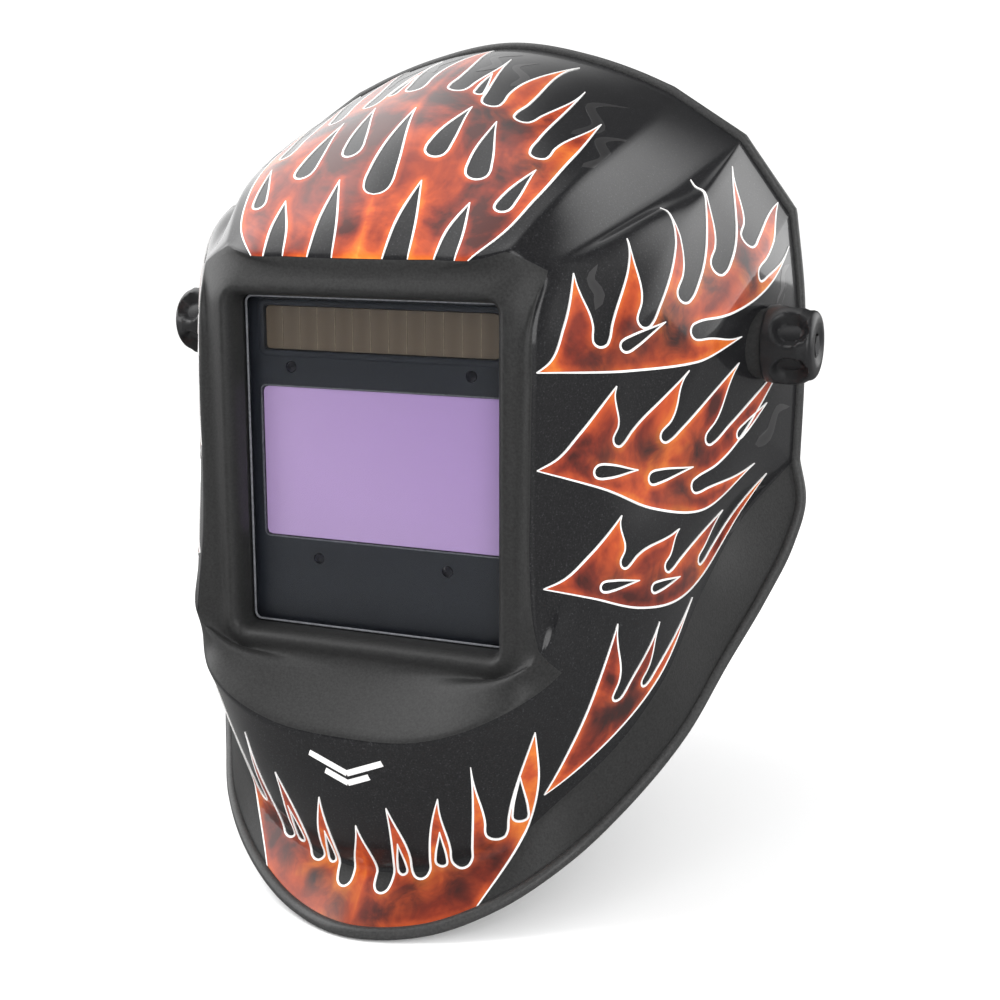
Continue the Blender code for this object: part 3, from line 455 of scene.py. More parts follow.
def pad_fabric():
    """Knitted pad cover: two crossing sets of fine ribs, and a soft nap."""
    n = Nodes("pad_fabric", (0.030, 0.030, 0.034), 0.92, Sheen_Weight=0.35, Sheen_Roughness=0.4)
    knit = n.maths("MULTIPLY", *[n.bands(190.0, 0.8, direction)["Fac"] for direction in "XZ"])
    n.colour(n.ramp(knit, [(0.0, (0.018, 0.018, 0.020)), (0.8, (0.055, 0.055, 0.060))]))
    n.roughness(n.ramp(n.noise(60.0), [(0.3, 0.86), (0.7, 0.97)]))
    n.bump(knit, 0.6, 0.0004)
    return n.material


SHELL_GLOSS = shell_gloss()
SATIN = satin_black()
FLAME = flame_paint()
PINSTRIPE = pinstripe_paint()
GHOST = ghost_paint()
CASE = plain("case_slate", (0.028, 0.032, 0.041), 0.36, SPRAY_GRAIN, 0.12, 0.04)
CONTACT = plain("cell_contact", (0.30, 0.25, 0.19), 0.35, Metallic=0.4)
# Light grey of the thin rings at the filter window's edge and at the cover lens's edge: a painted highlight.
EDGE_HIGHLIGHT_PAINT = plain("painted_edge_highlight", (0.16, 0.165, 0.18), 0.25)
CLEAR = clear_polycarbonate()
FILTER = filter_glass()
SOLAR_CELLS = solar_cells()
KNOB = plain("knob_black", (0.013, 0.013, 0.014), 0.36, 1300.0)
BAND = plain("band_black", (0.020, 0.020, 0.022), 0.46, 800.0)
RUBBER = plain("rubber", (0.024, 0.024, 0.024), 0.78, 700.0)
SENSOR = plain("sensor_lens", (0.012, 0.012, 0.018), 0.08, Coat_Weight=0.8)
BOARD = plain("board_green", (0.02, 0.12, 0.05), 0.42, 260.0, 0.4)
DISPLAY = plain("display", (0.22, 0.26, 0.20), 0.16, 90.0, 0.1, 0.02)
BUTTON = plain("button_grey", (0.10, 0.105, 0.11), 0.50)
STEEL = plain("steel", (0.58, 0.58, 0.60), 0.30, 500.0, 0.12, Metallic=1.0)
DARK_STEEL = plain("dark_steel", (0.10, 0.10, 0.105), 0.35, 500.0, 0.12, Metallic=1.0)
FABRIC = pad_fabric()


# ---- mesh helpers -------------------------------------------------------------------------
AT_OPENING = Matrix.Translation(OPENING)
AT_PIVOT = Matrix.Identity(4)
HEAD_CENTRE = Vector((0.0, 52.0, 9.5))
HEAD_TILT = math.radians(-15.9)
AT_HEAD = Matrix.Translation(HEAD_CENTRE * MM) @ Matrix.Rotation(HEAD_TILT, 4, "X")


def new_piece(name, verts, faces, materials, body, smooth=True, angle=35, at=AT_OPENING):
    """Mesh object in metres from millimetre points in one of the frames above."""
    mesh = bpy.data.meshes.new(name)
    mesh.from_pydata([at @ (Vector(p) * MM) for p in verts], [], [tuple(f) for f in faces])
    for mat in materials:
        mesh.materials.append(mat)
    if smooth:
        mesh.shade_smooth()
        mesh.set_sharp_from_angle(angle=math.radians(angle))
    obj = bpy.data.objects.new(name, mesh)
    bpy.context.scene.collection.objects.link(obj)
    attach(obj, body)
    return obj


def ring_faces(rings, steps, closed, flip=False, start=0):
    """Quads between rings of points that follow each other.  Each ring is closed in itself, and a
    closed row of rings joins its last to its first."""
    faces = []
    for i in range(rings if closed else rings - 1):
        base, following = start + i * steps, start + (i + 1) % rings * steps
        for k in range(steps):
            j = (k + 1) % steps
            quad = (base + k, base + j, following + j, following + k)
            faces.append(quad[::-1] if flip else quad)
    return faces


def apply_modifiers(obj):
    graph = bpy.context.evaluated_depsgraph_get()
    mesh = bpy.data.meshes.new_from_object(obj.evaluated_get(graph))
    obj.modifiers.clear()
    obj.data = mesh
    return obj


# ---- shell --------------------------------------------------------------------------------
WELD = 0.02                      # grid points nearer than this are one point
SHELL_SHARP = 85                 # degrees; only the opening's and the rim's edges stay sharp
BEAD_RADII = (2.4, 2.3)          # of the rim bead, across the surface and out from it
BEAD_STEPS = 14


def outer_skin():
    """Both halves of the shell's outer face, welded, with its creases a little rounded."""
    bm = bmesh.new()
    for slot_number, grids in enumerate((GLOSS_GRIDS, SATIN_GRIDS)):
        for grid in grids:
            verts = [[bm.verts.new(p) for p in row] for row in grid]
            for row, following in zip(verts, verts[1:]):
                for i in range(len(row) - 1):
                    face = bm.faces.new((row[i], row[i + 1], following[i + 1], following[i]))
                    face.material_index = slot_number
    bmesh.ops.remove_doubles(bm, verts=bm.verts, dist=WELD)
    copy = bmesh.ops.duplicate(bm, geom=bm.verts[:] + bm.edges[:] + bm.faces[:])["geom"]
    bmesh.ops.scale(bm, vec=(-1, 1, 1), verts=[v for v in copy if isinstance(v, bmesh.types.BMVert)])
    bmesh.ops.remove_doubles(bm, verts=bm.verts, dist=WELD)
    bmesh.ops.recalc_face_normals(bm, faces=bm.faces)
    inner = [v for v in bm.verts if not v.is_boundary]
    for _ in range(2):
        bmesh.ops.smooth_vert(bm, verts=inner, factor=0.5, use_axis_x=True, use_axis_y=True, use_axis_z=True)
    bm.normal_update()
    top = max(bm.faces, key=lambda f: f.calc_center_median().z)
    if top.normal.z < 0:
        bmesh.ops.reverse_faces(bm, faces=bm.faces)
        bm.normal_update()
    return bm


SKIN = outer_skin()
SKIN_TREE = BVHTree.FromBMesh(SKIN)
SKIN.faces.ensure_lookup_table()


def skin_normal(point, face_index):
    """Smooth normal of the skin at a point of one of its faces."""
    face = SKIN.faces[face_index]
    corners = [v.co for v in face.verts]
    weights = interpolate.poly_3d_calc(corners, point)
    normal = Vector((0, 0, 0))
    for weight, vert in zip(weights, face.verts):
        normal += weight * vert.normal
    return normal.normalized()


def make_shell():
    mesh = bpy.data.meshes.new("shell_moulding")
    copy = SKIN.copy()
    bmesh.ops.scale(copy, vec=(MM, MM, MM), verts=copy.verts)
    bmesh.ops.translate(copy, vec=OPENING, verts=copy.verts)
    copy.to_mesh(mesh)
    copy.free()
    for mat in (SHELL_GLOSS, SATIN):
        mesh.materials.append(mat)
    mesh.shade_smooth()
    mesh.set_sharp_from_angle(angle=math.radians(SHELL_SHARP))
    shell = bpy.data.objects.new("shell_moulding", mesh)
    bpy.context.scene.collection.objects.link(shell)
    wall = shell.modifiers.new("wall", "SOLIDIFY")
    wall.thickness = WALL * MM
    wall.offset = -1.0
    wall.use_even_offset = True
    apply_modifiers(shell)
    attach(shell, "visor")
    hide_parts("shell")
    return shell


def make_rim_bead():
    """Rounded roll round the whole rear edge of the shell."""
    loop = np.vstack([REAR_BORDER[:-1], (REAR_BORDER * MIRROR)[1:][::-1]])
    verts = []
    for i, point in enumerate(loop):
        along = Vector(loop[(i + 1) % len(loop)] - loop[i - 1]).normalized()
        _, normal, _, _ = SKIN_TREE.find_nearest(Vector(point))
        out = (normal - along * normal.dot(along)).normalized()
        across = along.cross(out)
        for k in range(BEAD_STEPS):
            angle = 2 * math.pi * k / BEAD_STEPS
            verts.append(Vector(point) + across * BEAD_RADII[0] * math.cos(angle)
                         + out * BEAD_RADII[1] * math.sin(angle))
    faces = ring_faces(len(loop), BEAD_STEPS, True)
    new_piece("rim_bead", verts, faces, [satin_black("rim_satin", 0.035, 0.40)], "visor")


# ---- flames: an own layout of licks on three charts of the shell ----------------------------------
# A stream is a list that alternates tips and what joins them.  A tip is (u, v, heading).  It is
# joined to the next by a round-bottomed gap (u, v, radius, heading of its mouth), or by a list of
# points on a plain edge.  Headings are in degrees: 0 runs up v, and 90 runs out along u.
# A drop is a hole: (u, v, radius, heading of its point, length).
# Dome chart: x, and the distance back along the centre line from the bezel.  Left half.
DOME_STREAM = [(0, 152, 0), (9, 94, 3.9, 5), (15, 134, -14), (25, 87, 3.7, -6), (38, 150, 16),
               (39, 82, 3.5, 10), (49, 124, -10), (52, 60, 3.3, -2), (62, 102, 12),
               [(62, 66), (58, 32), (51, 10)], (43, 0.4, 200)]
DOME_DROPS = [(17, 50, 4.2, 6, 30), (35, 42, 4.4, -6, 32), (49, 26, 3.0, 12, 24), (18, 92, 1.8, -6, 20)]
DOME_CENTRE_DROP = (0, 32, 5.6, 0, 42)
DOME_NOTCHES = [((10, 0.4), (11.5, 14), (16.5, 34), (19.5, 15), (20, 0.4)),
                ((30, 0.4), (31.5, 11), (37, 26), (38.5, 12), (38, 0.4))]
# Side chart: y and z.
SIDE_STREAMS = [
    [(-2.5, 40, -95), [(2, 43), (8, 55)], (14, 73, 8), (21, 50, 3.0, 14), (38, 84, 24), (38, 56, 3.4, 30),
     (64, 94, 38), (56, 64, 3.6, 44), (92, 104, 50), (76, 73, 3.6, 54), (116, 109, 56), (98, 82, 3.2, 62),
     (132, 95, 64), (99, 69, 3.0, 70), (129, 78, 48), (60, 50, 3.2, 84), (86, 46, 74), [(60, 39), (30, 38)]],
    [(-2.5, 6, -95), [(4, 9), (12, 17)], (26, 33, 30), (28, 14, 3.0, 44), (56, 36, 52), (50, 13, 3.2, 54),
     (86, 36, 50), (74, 9, 3.2, 56), (131, 42, 48), (68, -9, 3.0, 78), (106, -6, 66),
     [(72, -19), (44, -14), (20, -3)]],
    [(-2.5, -36, -92), [(4, -34), (14, -27)], (28, -14, 40), (29, -31, 2.8, 46), (58, -24, 60),
     (52, -37, 2.6, 60), (88, -22, 58), (76, -39, 2.6, 58), (118, -12, 52),
     [(95, -36), (66, -51), (36, -50), (14, -42)]],
    [(13, -119, 205), [(17, -96), (19, -76)], (26, -54, 14), (30, -82, 2.8, 20), (48, -58, 32),
     (44, -80, 2.6, 38), (72, -54, 46), [(54, -79), (34, -101)]],
]
SIDE_DROPS = [(30, 47, 2.4, 66, 18), (20, 3, 2.6, 96, 18), (46, -3, 2.6, 86, 20), (92, 8, 2.2, 60, 20),
              (20, -39, 2.0, 92, 16), (44, -44, 2.0, 86, 16)]
# Chin chart: x and z.  Left half.
CHIN_STREAM = [(0, -132, 0), (8, -156, 3.3, 4), (14, -122, -8), (22, -150, 3.4, 8), (34, -116, 14),
               (37, -145, 3.4, 10), (47, -102, -4), (50, -133, 3.2, 12), (67, -90, 12),
               [(65, -112), (57, -138)], (44, -162.5, 200)]
CHIN_DROPS = [(15, -151, 1.8, 2, 13), (30, -146, 2.0, 8, 15), (58, -127, 2.2, 8, 19)]
CHIN_EDGE = [(28, -168.2), (14, -169.7), (0, -170)]

TIP_SPREAD = 7.0                 # half the angle of a tip
TIP_PULL = 0.42                  # how far an edge keeps a tip's line, as a share of its length
GAP_PULL = 0.38
HEAT_BACK = 13.0                 # the bright patch lies this far behind a tip
SMOKE_BELOW = 9.0                # the smoky patch lies this far below a gap
PATCH_RADIUS = 7.0
EDGE_FADE = 6.0                  # the paint's edge tone fades out over this distance


def toward(degrees):
    """Unit vector on a chart."""
    turn = math.radians(degrees)
    return np.array((math.sin(turn), math.cos(turn)))


def bezier(a, b, c, d):
    t = np.linspace(0.0, 1.0, 8)[:, None]
    return (1 - t) ** 3 * a + 3 * (1 - t) ** 2 * t * b + 3 * (1 - t) * t ** 2 * c + t ** 3 * d


def lick_edge(tip, foot, mouth):
    """Curve from a tip down to a gap's side, which it meets along the gap."""
    point = np.array(tip[:2], float)
    back, away = -toward(tip[2]), foot - point
    spread = -TIP_SPREAD if back[0] * away[1] > back[1] * away[0] else TIP_SPREAD
    reach = np.linalg.norm(away)
    leaving = point - toward(tip[2] + spread) * reach * TIP_PULL
    return bezier(point, leaving, foot + mouth * reach * GAP_PULL, foot)


def gap_run(tip, gap, following):
    """Edge from one tip down into a round gap and up to the next tip."""
    centre, radius, mouth = np.array(gap[:2], float), gap[2], toward(gap[3])
    side = np.array((mouth[1], -mouth[0]))
    if (np.array(tip[:2]) - centre) @ side < (np.array(following[:2]) - centre) @ side:
        side = -side
    turns = np.linspace(0, math.pi, 7)[1:-1]
    bottom = [centre + radius * (side * math.cos(a) - mouth * math.sin(a)) for a in turns]
    down = lick_edge(tip, centre + side * radius, mouth)
    up = lick_edge(following, centre - side * radius, mouth)[::-1]
    return np.vstack([down, bottom, up])


def stream_runs(stream, closed):
    """Runs of a stream, one from each tip to the next."""
    tips, joins = stream[::2], stream[1::2]
    ends = tips[1:] + (tips[:1] if closed else [])
    runs = []
    for tip, join, end in zip(tips, joins, ends):
        runs.append([tip[:2], *join, end[:2]] if isinstance(join, list) else gap_run(tip, join, end))
    return runs


def drop_run(drop):
    """Outline of a teardrop hole, from its point round to its point."""
    u, v, radius, heading, length = drop
    point = np.array((u, v)) + toward(heading) * length
    return gap_run((*point, heading), (u, v, radius, heading), (*point, heading))


def flame_layout():
    """Every chart's loops: (runs, closing points).  Only runs carry a pinstripe, and the closing
    points finish a loop where the paint meets an edge of the shell or the centre line."""
    centre = drop_run(DOME_CENTRE_DROP)
    centre = centre[:len(centre) // 2 + 1]
    centre[-1, 0] = 0.0
    dome = [(stream_runs(DOME_STREAM, False), [(0, 0.4)]), ([centre], [])]
    dome += [([notch[:3], notch[2:]], []) for notch in DOME_NOTCHES]
    dome += [([drop_run(drop)], []) for drop in DOME_DROPS]
    side = [(stream_runs(stream, True), []) for stream in SIDE_STREAMS]
    side += [([drop_run(drop)], []) for drop in SIDE_DROPS]
    chin = [(stream_runs(CHIN_STREAM, False), CHIN_EDGE)]
    chin += [([drop_run(drop)], []) for drop in CHIN_DROPS]
    return dome, side, chin


def spots(streams):
    """Bright patches behind the tips and smoky ones below the gaps: chart place and radius."""
    heat, smoke = [], []
    for stream in streams:
        for u, v, heading in stream[::2]:
            heat.append((*(np.array((u, v)) - toward(heading) * HEAT_BACK), PATCH_RADIUS))
        for join in stream[1::2]:
            if isinstance(join, tuple):
                smoke.append((*(np.array(join[:2]) - toward(join[3]) * SMOKE_BELOW), PATCH_RADIUS))
    return heat, smoke


OUTLINE_SPACING = 1.0
FILL_SPACING = 1.9
STRIPE_WIDTH = 1.0
PAINT_LIFT = 0.22                # top of the flame paint over the shell
PAINT_ROOT = -0.25
STRIPE_LIFT = 0.40
# Cross-section of a stripe: share of its half width, and height over the shell.
STRIPE_SECTION = ((-1.0, PAINT_ROOT), (-0.85, STRIPE_LIFT - 0.06), (0.0, STRIPE_LIFT),
                  (0.85, STRIPE_LIFT - 0.06), (1.0, PAINT_ROOT))
EDGE_ON = 0.05                   # a side face whose normal has less X than this is met edge on


def dome_lines():
    """Distance back along the dome's centre line at each station of its grid."""
    steps = np.linalg.norm(np.diff(DOME_GRID[:, 0], axis=0), axis=1)
    return np.concatenate([[0.0], np.cumsum(steps)])


DOME_REACH = dome_lines()


def dome_place(u, v):
    station = np.interp(v, DOME_REACH, np.arange(len(DOME_REACH)))
    low = min(int(station), len(DOME_GRID) - 2)
    points = []
    for row in (DOME_GRID[low], DOME_GRID[low + 1]):
        points.append(np.array([np.interp(u, row[:, 0], row[:, axis]) for axis in range(3)]))
    point = points[0] + (points[1] - points[0]) * (station - low)
    hit, _, index, _ = SKIN_TREE.find_nearest(Vector(point))
    return hit, index


def side_place(u, v):
    hit, normal, index, _ = SKIN_TREE.ray_cast(Vector((300.0, u, v)), Vector((-1, 0, 0)))
    if hit is None or normal.x < EDGE_ON:
        hit, _, index, _ = SKIN_TREE.find_nearest(Vector((70.0, u, v)))
    return hit, index


def chin_place(u, v):
    hit, _, index, _ = SKIN_TREE.ray_cast(Vector((u, -400.0, v)), Vector((0, 1, 0)))
    if hit is None:
        hit, _, index, _ = SKIN_TREE.find_nearest(Vector((u, -15.0, v)))
    return hit, index


def on_skin(place, u, v):
    hit, index = place(u, v)
    return hit, skin_normal(hit, index)


def closed_loops(loops):
    """Flat polygons of a chart's loops, with the closing points put in."""
    polygons = []
    for runs, closing in loops:
        points = [smooth_run(run, OUTLINE_SPACING)[:-1] for run in runs]
        points.append(np.array([runs[-1][-1]], float))
        ring = np.vstack(points + ([np.array(closing, float)] if closing else []))
        if np.linalg.norm(ring[0] - ring[-1]) < 1e-6:
            ring = ring[:-1]
        polygons.append(densify(ring))
    return polygons


def densify(ring):
    """Add points so that no side of a closed ring is longer than the fill spacing."""
    out = []
    for a, b in zip(ring, np.roll(ring, -1, axis=0)):
        count = max(1, int(math.ceil(np.linalg.norm(b - a) / FILL_SPACING)))
        out += [a + (b - a) * i / count for i in range(count)]
    return np.array(out)


def is_inside(points, polygons):
    """Even-odd test of flat points against closed polygons."""
    inside = np.zeros(len(points), bool)
    x, y = points[:, 0], points[:, 1]
    for ring in polygons:
        for (ax, ay), (bx, by) in zip(ring, np.roll(ring, -1, axis=0)):
            if ay == by:
                continue
            crosses = (ay > y) != (by > y)
            inside ^= crosses & (x < (bx - ax) * (y - ay) / (by - ay) + ax)
    return inside


def edge_distance(points, polygons):
    best = np.full(len(points), 1e9)
    for ring in polygons:
        for a, b in zip(ring, np.roll(ring, -1, axis=0)):
            ab = b - a
            t = np.clip(((points - a) @ ab) / max(ab @ ab, 1e-9), 0.0, 1.0)
            best = np.minimum(best, np.linalg.norm(points - (a + t[:, None] * ab), axis=1))
    return best


def patches(points, centres):
    """Sum of soft round patches, 0 to 1."""
    total = np.zeros(len(points))
    for x, y, radius in centres:
        total += np.exp(-((points[:, 0] - x) ** 2 + (points[:, 1] - y) ** 2) / (1.1 * radius ** 2))
    return np.clip(total, 0.0, 1.0)


def flame_fill(name, place, loops, heat, smoke, halves, mat=FLAME, lift=PAINT_LIFT):
    """Thin skin of paint over a chart's loops.  halves lists the sides of the shell it covers."""
    polygons = closed_loops(loops)
    low = np.min([p.min(axis=0) for p in polygons], axis=0)
    high = np.max([p.max(axis=0) for p in polygons], axis=0)
    grid = [(u + (FILL_SPACING / 2 if row % 2 else 0.0), v)
            for row, v in enumerate(np.arange(low[1], high[1], FILL_SPACING * 0.87))
            for u in np.arange(low[0], high[0], FILL_SPACING)]
    grid = np.array(grid)
    grid = grid[is_inside(grid, polygons)]
    grid = grid[edge_distance(grid, polygons) > 0.45 * FILL_SPACING]
    flat, edges = [], []
    for ring in polygons:
        start = len(flat)
        flat += [Vector(p) for p in ring]
        edges += [(start + i, start + (i + 1) % len(ring)) for i in range(len(ring))]
    flat += [Vector(p) for p in grid]
    out = geometry.delaunay_2d_cdt(flat, edges, [], 0, 1e-4)
    points = np.array([tuple(p) for p in out[0]])
    faces = np.array(out[2])
    faces = faces[is_inside(points[faces].mean(axis=1), polygons)]
    used = np.unique(faces)
    renumber = np.full(len(points), -1)
    renumber[used] = np.arange(len(used))
    points, faces = points[used], renumber[faces]
    values = {"heat": patches(points, heat), "smoke": patches(points, smoke),
              "edge": np.clip(edge_distance(points, polygons) / EDGE_FADE, 0.0, 1.0)}
    placed = [on_skin(place, u, v) for u, v in points]
    add_paint(name, placed, faces, values, halves, mat, lift)


def add_paint(name, placed, faces, values, halves, mat, top):
    """Closed thin solid from points on the skin, one copy for each side it covers."""
    verts, normals, solid = [], [], []
    for sign in halves:
        flip = Vector((sign, 1, 1))
        start, count = len(verts), len(placed)
        for lift in (top, PAINT_ROOT):
            for hit, normal in placed:
                side = normal * flip
                verts.append((hit + normal * lift) * flip)
                normals.append(side if lift > 0 else -side)
        border = {}
        for a, b, c in faces:
            nodes = (a, b, c)
            u, v, w = (placed[i][0] for i in nodes)
            outward = (v - u).cross(w - u).dot(placed[a][1]) > 0
            order = nodes if outward == (sign > 0) else nodes[::-1]
            solid.append([start + i for i in order])
            solid.append([start + count + i for i in order[::-1]])
            for p, q in zip(order, order[1:] + order[:1]):
                if (q, p) in border:
                    del border[(q, p)]
                else:
                    border[(p, q)] = True
        for p, q in border:
            solid.append([start + q, start + p, start + count + p, start + count + q])
    obj = new_piece(name, verts, solid, [mat], "visor", angle=180)
    mesh = obj.data
    for key, numbers in values.items():
        layer = mesh.attributes.new(key, "FLOAT", "POINT")
        layer.data.foreach_set("value", np.tile(numbers, 2 * len(halves)))
    mesh.normals_split_custom_set_from_vertices([tuple(n) for n in normals])


def add_stripe(verts, faces, place, points, width, sign, full_ends=False):
    """Low rounded ribbon along a curve on the skin, thinner towards its ends."""
    samples = smooth_run(points, OUTLINE_SPACING)
    reach = np.concatenate([[0.0], np.cumsum(np.linalg.norm(np.diff(samples, axis=0), axis=1))])
    placed = [on_skin(place, u, v) for u, v in samples]
    count = len(placed)
    start = len(verts)
    for i, (hit, normal) in enumerate(placed):
        along = (placed[min(i + 1, count - 1)][0] - placed[max(i - 1, 0)][0]).normalized()
        across = normal.cross(along).normalized()
        t = reach[i] / reach[-1]
        half = width / 2 * (1.0 if full_ends else 0.40 + 0.60 * math.sin(math.pi * t) ** 0.6)
        for out, lift in STRIPE_SECTION:
            point = hit + across * half * out + normal * lift
            verts.append((point.x * sign, point.y, point.z))
    ring = len(STRIPE_SECTION)
    faces += ring_faces(count, ring, False, sign < 0, start)
    for first, flip in ((start, sign > 0), (start + (count - 1) * ring, sign < 0)):
        cap = [first + k for k in range(ring)]
        faces.append(cap[::-1] if flip else cap)


def make_stripes(name, place, loops, halves):
    verts, faces = [], []
    for sign in halves:
        for runs, _ in loops:
            for run in runs:
                add_stripe(verts, faces, place, run, STRIPE_WIDTH, sign)
    return new_piece(name, verts, faces, [PINSTRIPE], "visor", angle=60)


def make_flames():
    dome, side, chin = flame_layout()
    for name, place, loops, streams in (("dome", dome_place, dome, [DOME_STREAM]),
                                        ("chin", chin_place, chin, [CHIN_STREAM])):
        flame_fill("flame_" + name, place, loops, *spots(streams), (1, -1))
        make_stripes("pinstripe_" + name, place, loops, (1, -1))
    for word, sign in (("left", 1), ("right", -1)):
        flame_fill("flame_" + word, side_place, side, *spots(SIDE_STREAMS), (sign,))
        make_stripes("pinstripe_" + word, side_place, side, (sign,))


# ---- plain mark on the chin: two nested chevrons -----------------------------------------------
MARK_Z = -103.0
MARK_HALF = (15.0, 9.0)          # half widths of the upper and lower chevron
MARK_DROP = 0.42                 # fall of a chevron's arms for each millimetre out
MARK_STEP = 6.5
MARK_WIDTH = 2.6                 # of the arms


def make_chin_mark():
    verts, faces = [], []
    for number, half in enumerate(MARK_HALF):
        z = MARK_Z - MARK_STEP * number
        for sign in (1, -1):
            arm = [(sign * half * t, z - MARK_DROP * half * (1 - t)) for t in (0.0, 0.5, 1.0)]
            add_stripe(verts, faces, chin_place, arm, MARK_WIDTH, 1, full_ends=True)
    new_piece("chin_mark", verts, faces, [PINSTRIPE], "visor", angle=60)


# ---- faint grey licks behind the flames ---------------------------------------------------------
# Each: start on the chart, heading, length and greatest width.
GHOST_DOME = ((9, 112, 4, 34, 4), (26, 104, -8, 34, 4), (56, 84, 4, 46, 5), (66, 62, 6, 40, 5))
GHOST_SIDE = ((20, 60, 6, 16, 4), (104, 2, 58, 28, 6), (96, -34, 50, 30, 4), (112, 56, 40, 22, 5),
              (24, -66, 10, 12, 3), (112, 26, 10, 40, 6))
GHOST_SWAY = (0.0, 0.10, -0.08, 0.12)
GHOST_LIFT = 0.08


def lick_outline(lick):
    """Closed outline of a tapered lick that sways about its heading."""
    u, v, heading, length, width = lick
    ahead = toward(heading)
    aside = np.array((ahead[1], -ahead[0]))
    path = [np.array((u, v)) + length * (ahead * i / 3 + aside * sway) for i, sway in enumerate(GHOST_SWAY)]
    middle = smooth_run(path, 3.0)
    along = np.gradient(middle, axis=0)
    across = np.stack([-along[:, 1], along[:, 0]], axis=1)
    across /= np.linalg.norm(across, axis=1)[:, None]
    t = np.linspace(0.0, 1.0, len(middle))
    half = width / 2 * np.sin(math.pi * t ** 0.6) ** 0.8
    half[[0, -1]] = 0.0
    near = middle + across * half[:, None]
    far = middle - across * half[:, None]
    return [tuple(p) for p in near] + [tuple(p) for p in far[::-1][1:]]


def make_ghost_flames():
    for name, place, licks in (("ghost_flames_dome", dome_place, GHOST_DOME),
                               ("ghost_flames_side", side_place, GHOST_SIDE)):
        loops = [([outline[i:i + 2] for i in range(len(outline) - 1)], [])
                 for outline in map(lick_outline, licks)]
        flame_fill(name, place, loops, (), (), (1, -1), GHOST, GHOST_LIFT)


# ---- filter cassette: what the bare CAD solids lack -----------------------------------------
WINDOW = (50.0, 29.0, -1.0)      # half width, half height and middle height
SOLAR = (48.0, 8.35, 50.05)
FACE_FRONT = 12.2
FILL_FRONT = 13.0
SOLAR_CELL_COUNT = 13
LENS_EDGE_DEPTHS = (6.7, 7.2)    # front and back of the light line round the clear cover lens, a painted highlight on its edge


def rounded_outline(half_x, half_z, radius, middle_z=0.0):
    points = []
    for corner, (sx, sz) in enumerate(((1, 1), (-1, 1), (-1, -1), (1, -1))):
        cx, cz = sx * (half_x - radius), middle_z + sz * (half_z - radius)
        for i in range(CORNER_STEPS + 1):
            angle = math.pi / 2 * (corner + i / CORNER_STEPS)
            points.append((cx + radius * math.cos(angle), cz + radius * math.sin(angle)))
    return points


def frame_ring(name, outer, inner, front, back, mat, slot, round_over=0.3):
    """Flat ring between two outlines with the same number of points, its front edges eased."""
    outer, inner = np.array(outer), np.array(inner)
    ease_out = outer + (inner - outer) * 0.18
    ease_in = inner + (outer - inner) * 0.18
    loops = [(outer, back), (outer, front + round_over), (ease_out, front), (ease_in, front),
             (inner, front + round_over), (inner, back)]
    verts = [(x, depth, z) for loop, depth in loops for x, z in loop]
    faces = ring_faces(len(loops), len(outer), True)
    return new_piece(name, verts, faces, [mat], "visor", angle=40)


def box_faces(verts, faces, low, high):
    start = len(verts)
    (x0, y0, z0), (x1, y1, z1) = low, high
    verts += [(x0, y0, z0), (x1, y0, z0), (x1, y1, z0), (x0, y1, z0),
              (x0, y0, z1), (x1, y0, z1), (x1, y1, z1), (x0, y1, z1)]
    for quad in ((0, 3, 2, 1), (4, 5, 6, 7), (0, 1, 5, 4), (2, 3, 7, 6), (1, 2, 6, 5), (3, 0, 4, 7)):
        faces.append(tuple(start + i for i in quad))


def make_cassette_details():
    half_x, half_z, middle = SOLAR
    frame_ring("solar_frame", rounded_outline(half_x + 2.6, half_z + 2.4, 3.2, middle),
               rounded_outline(half_x + 0.1, half_z + 0.1, 1.4, middle), FACE_FRONT - 0.8, FACE_FRONT + 0.4,
               CASE, "case")
    verts, faces = [], []
    for number in range(1, SOLAR_CELL_COUNT):
        x = -half_x + 2 * half_x * number / SOLAR_CELL_COUNT
        box_faces(verts, faces, (x - 0.16, FILL_FRONT - 0.12, middle - half_z + 0.6),
                  (x + 0.16, FILL_FRONT + 0.3, middle + half_z - 0.6))
    new_piece("solar_contacts", verts, faces, [CONTACT], "visor", smooth=False)
    half_x, half_z, middle = WINDOW
    # Thin light ring round the filter window: a painted highlight on the window's edge.
    frame_ring("window_edge_painted_highlight", rounded_outline(half_x + 0.5, half_z + 0.5, 2.3, middle),
               rounded_outline(half_x - 0.05, half_z - 0.05, 1.9, middle), FACE_FRONT - 0.15,
               FACE_FRONT + 0.5, EDGE_HIGHLIGHT_PAINT, "case", 0.1)
    # Thin light ring round the clear cover lens: a painted highlight on the lens's edge.
    frame_ring("lens_edge_painted_highlight", rounded_outline(52.9, 62.6, 2.8), rounded_outline(52.2, 61.9, 2.4),
               *LENS_EDGE_DEPTHS, EDGE_HIGHLIGHT_PAINT, "clear_lens", 0.15)


# ---- knobs and pivots ---------------------------------------------------------------------
PIVOT_X = 124.6
KNOB_BASE = PIVOT_X + 2.1
KNOB_LENGTH = 15.5
KNOB_TURNS = 120
BORE_RADIUS = 4.4


def turned_piece(name, stations, sign, mat, body, shape=None):
    """Ring-shaped solid turned about the pivot axis: closed loop of (along, radius) stations."""
    verts = []
    for along, radius in stations:
        for i in range(KNOB_TURNS):
            turn = 2 * math.pi * i / KNOB_TURNS
            r = radius * (shape(turn, along) if shape else 1.0)
            verts.append((sign * along, r * math.cos(turn), r * math.sin(turn)))
    faces = ring_faces(len(stations), KNOB_TURNS, True, sign > 0)
    return new_piece(name, verts, faces, [mat], body, angle=40, at=AT_PIVOT)


SCOOPS = 5
FIRST_SCOOP = math.radians(6.0)


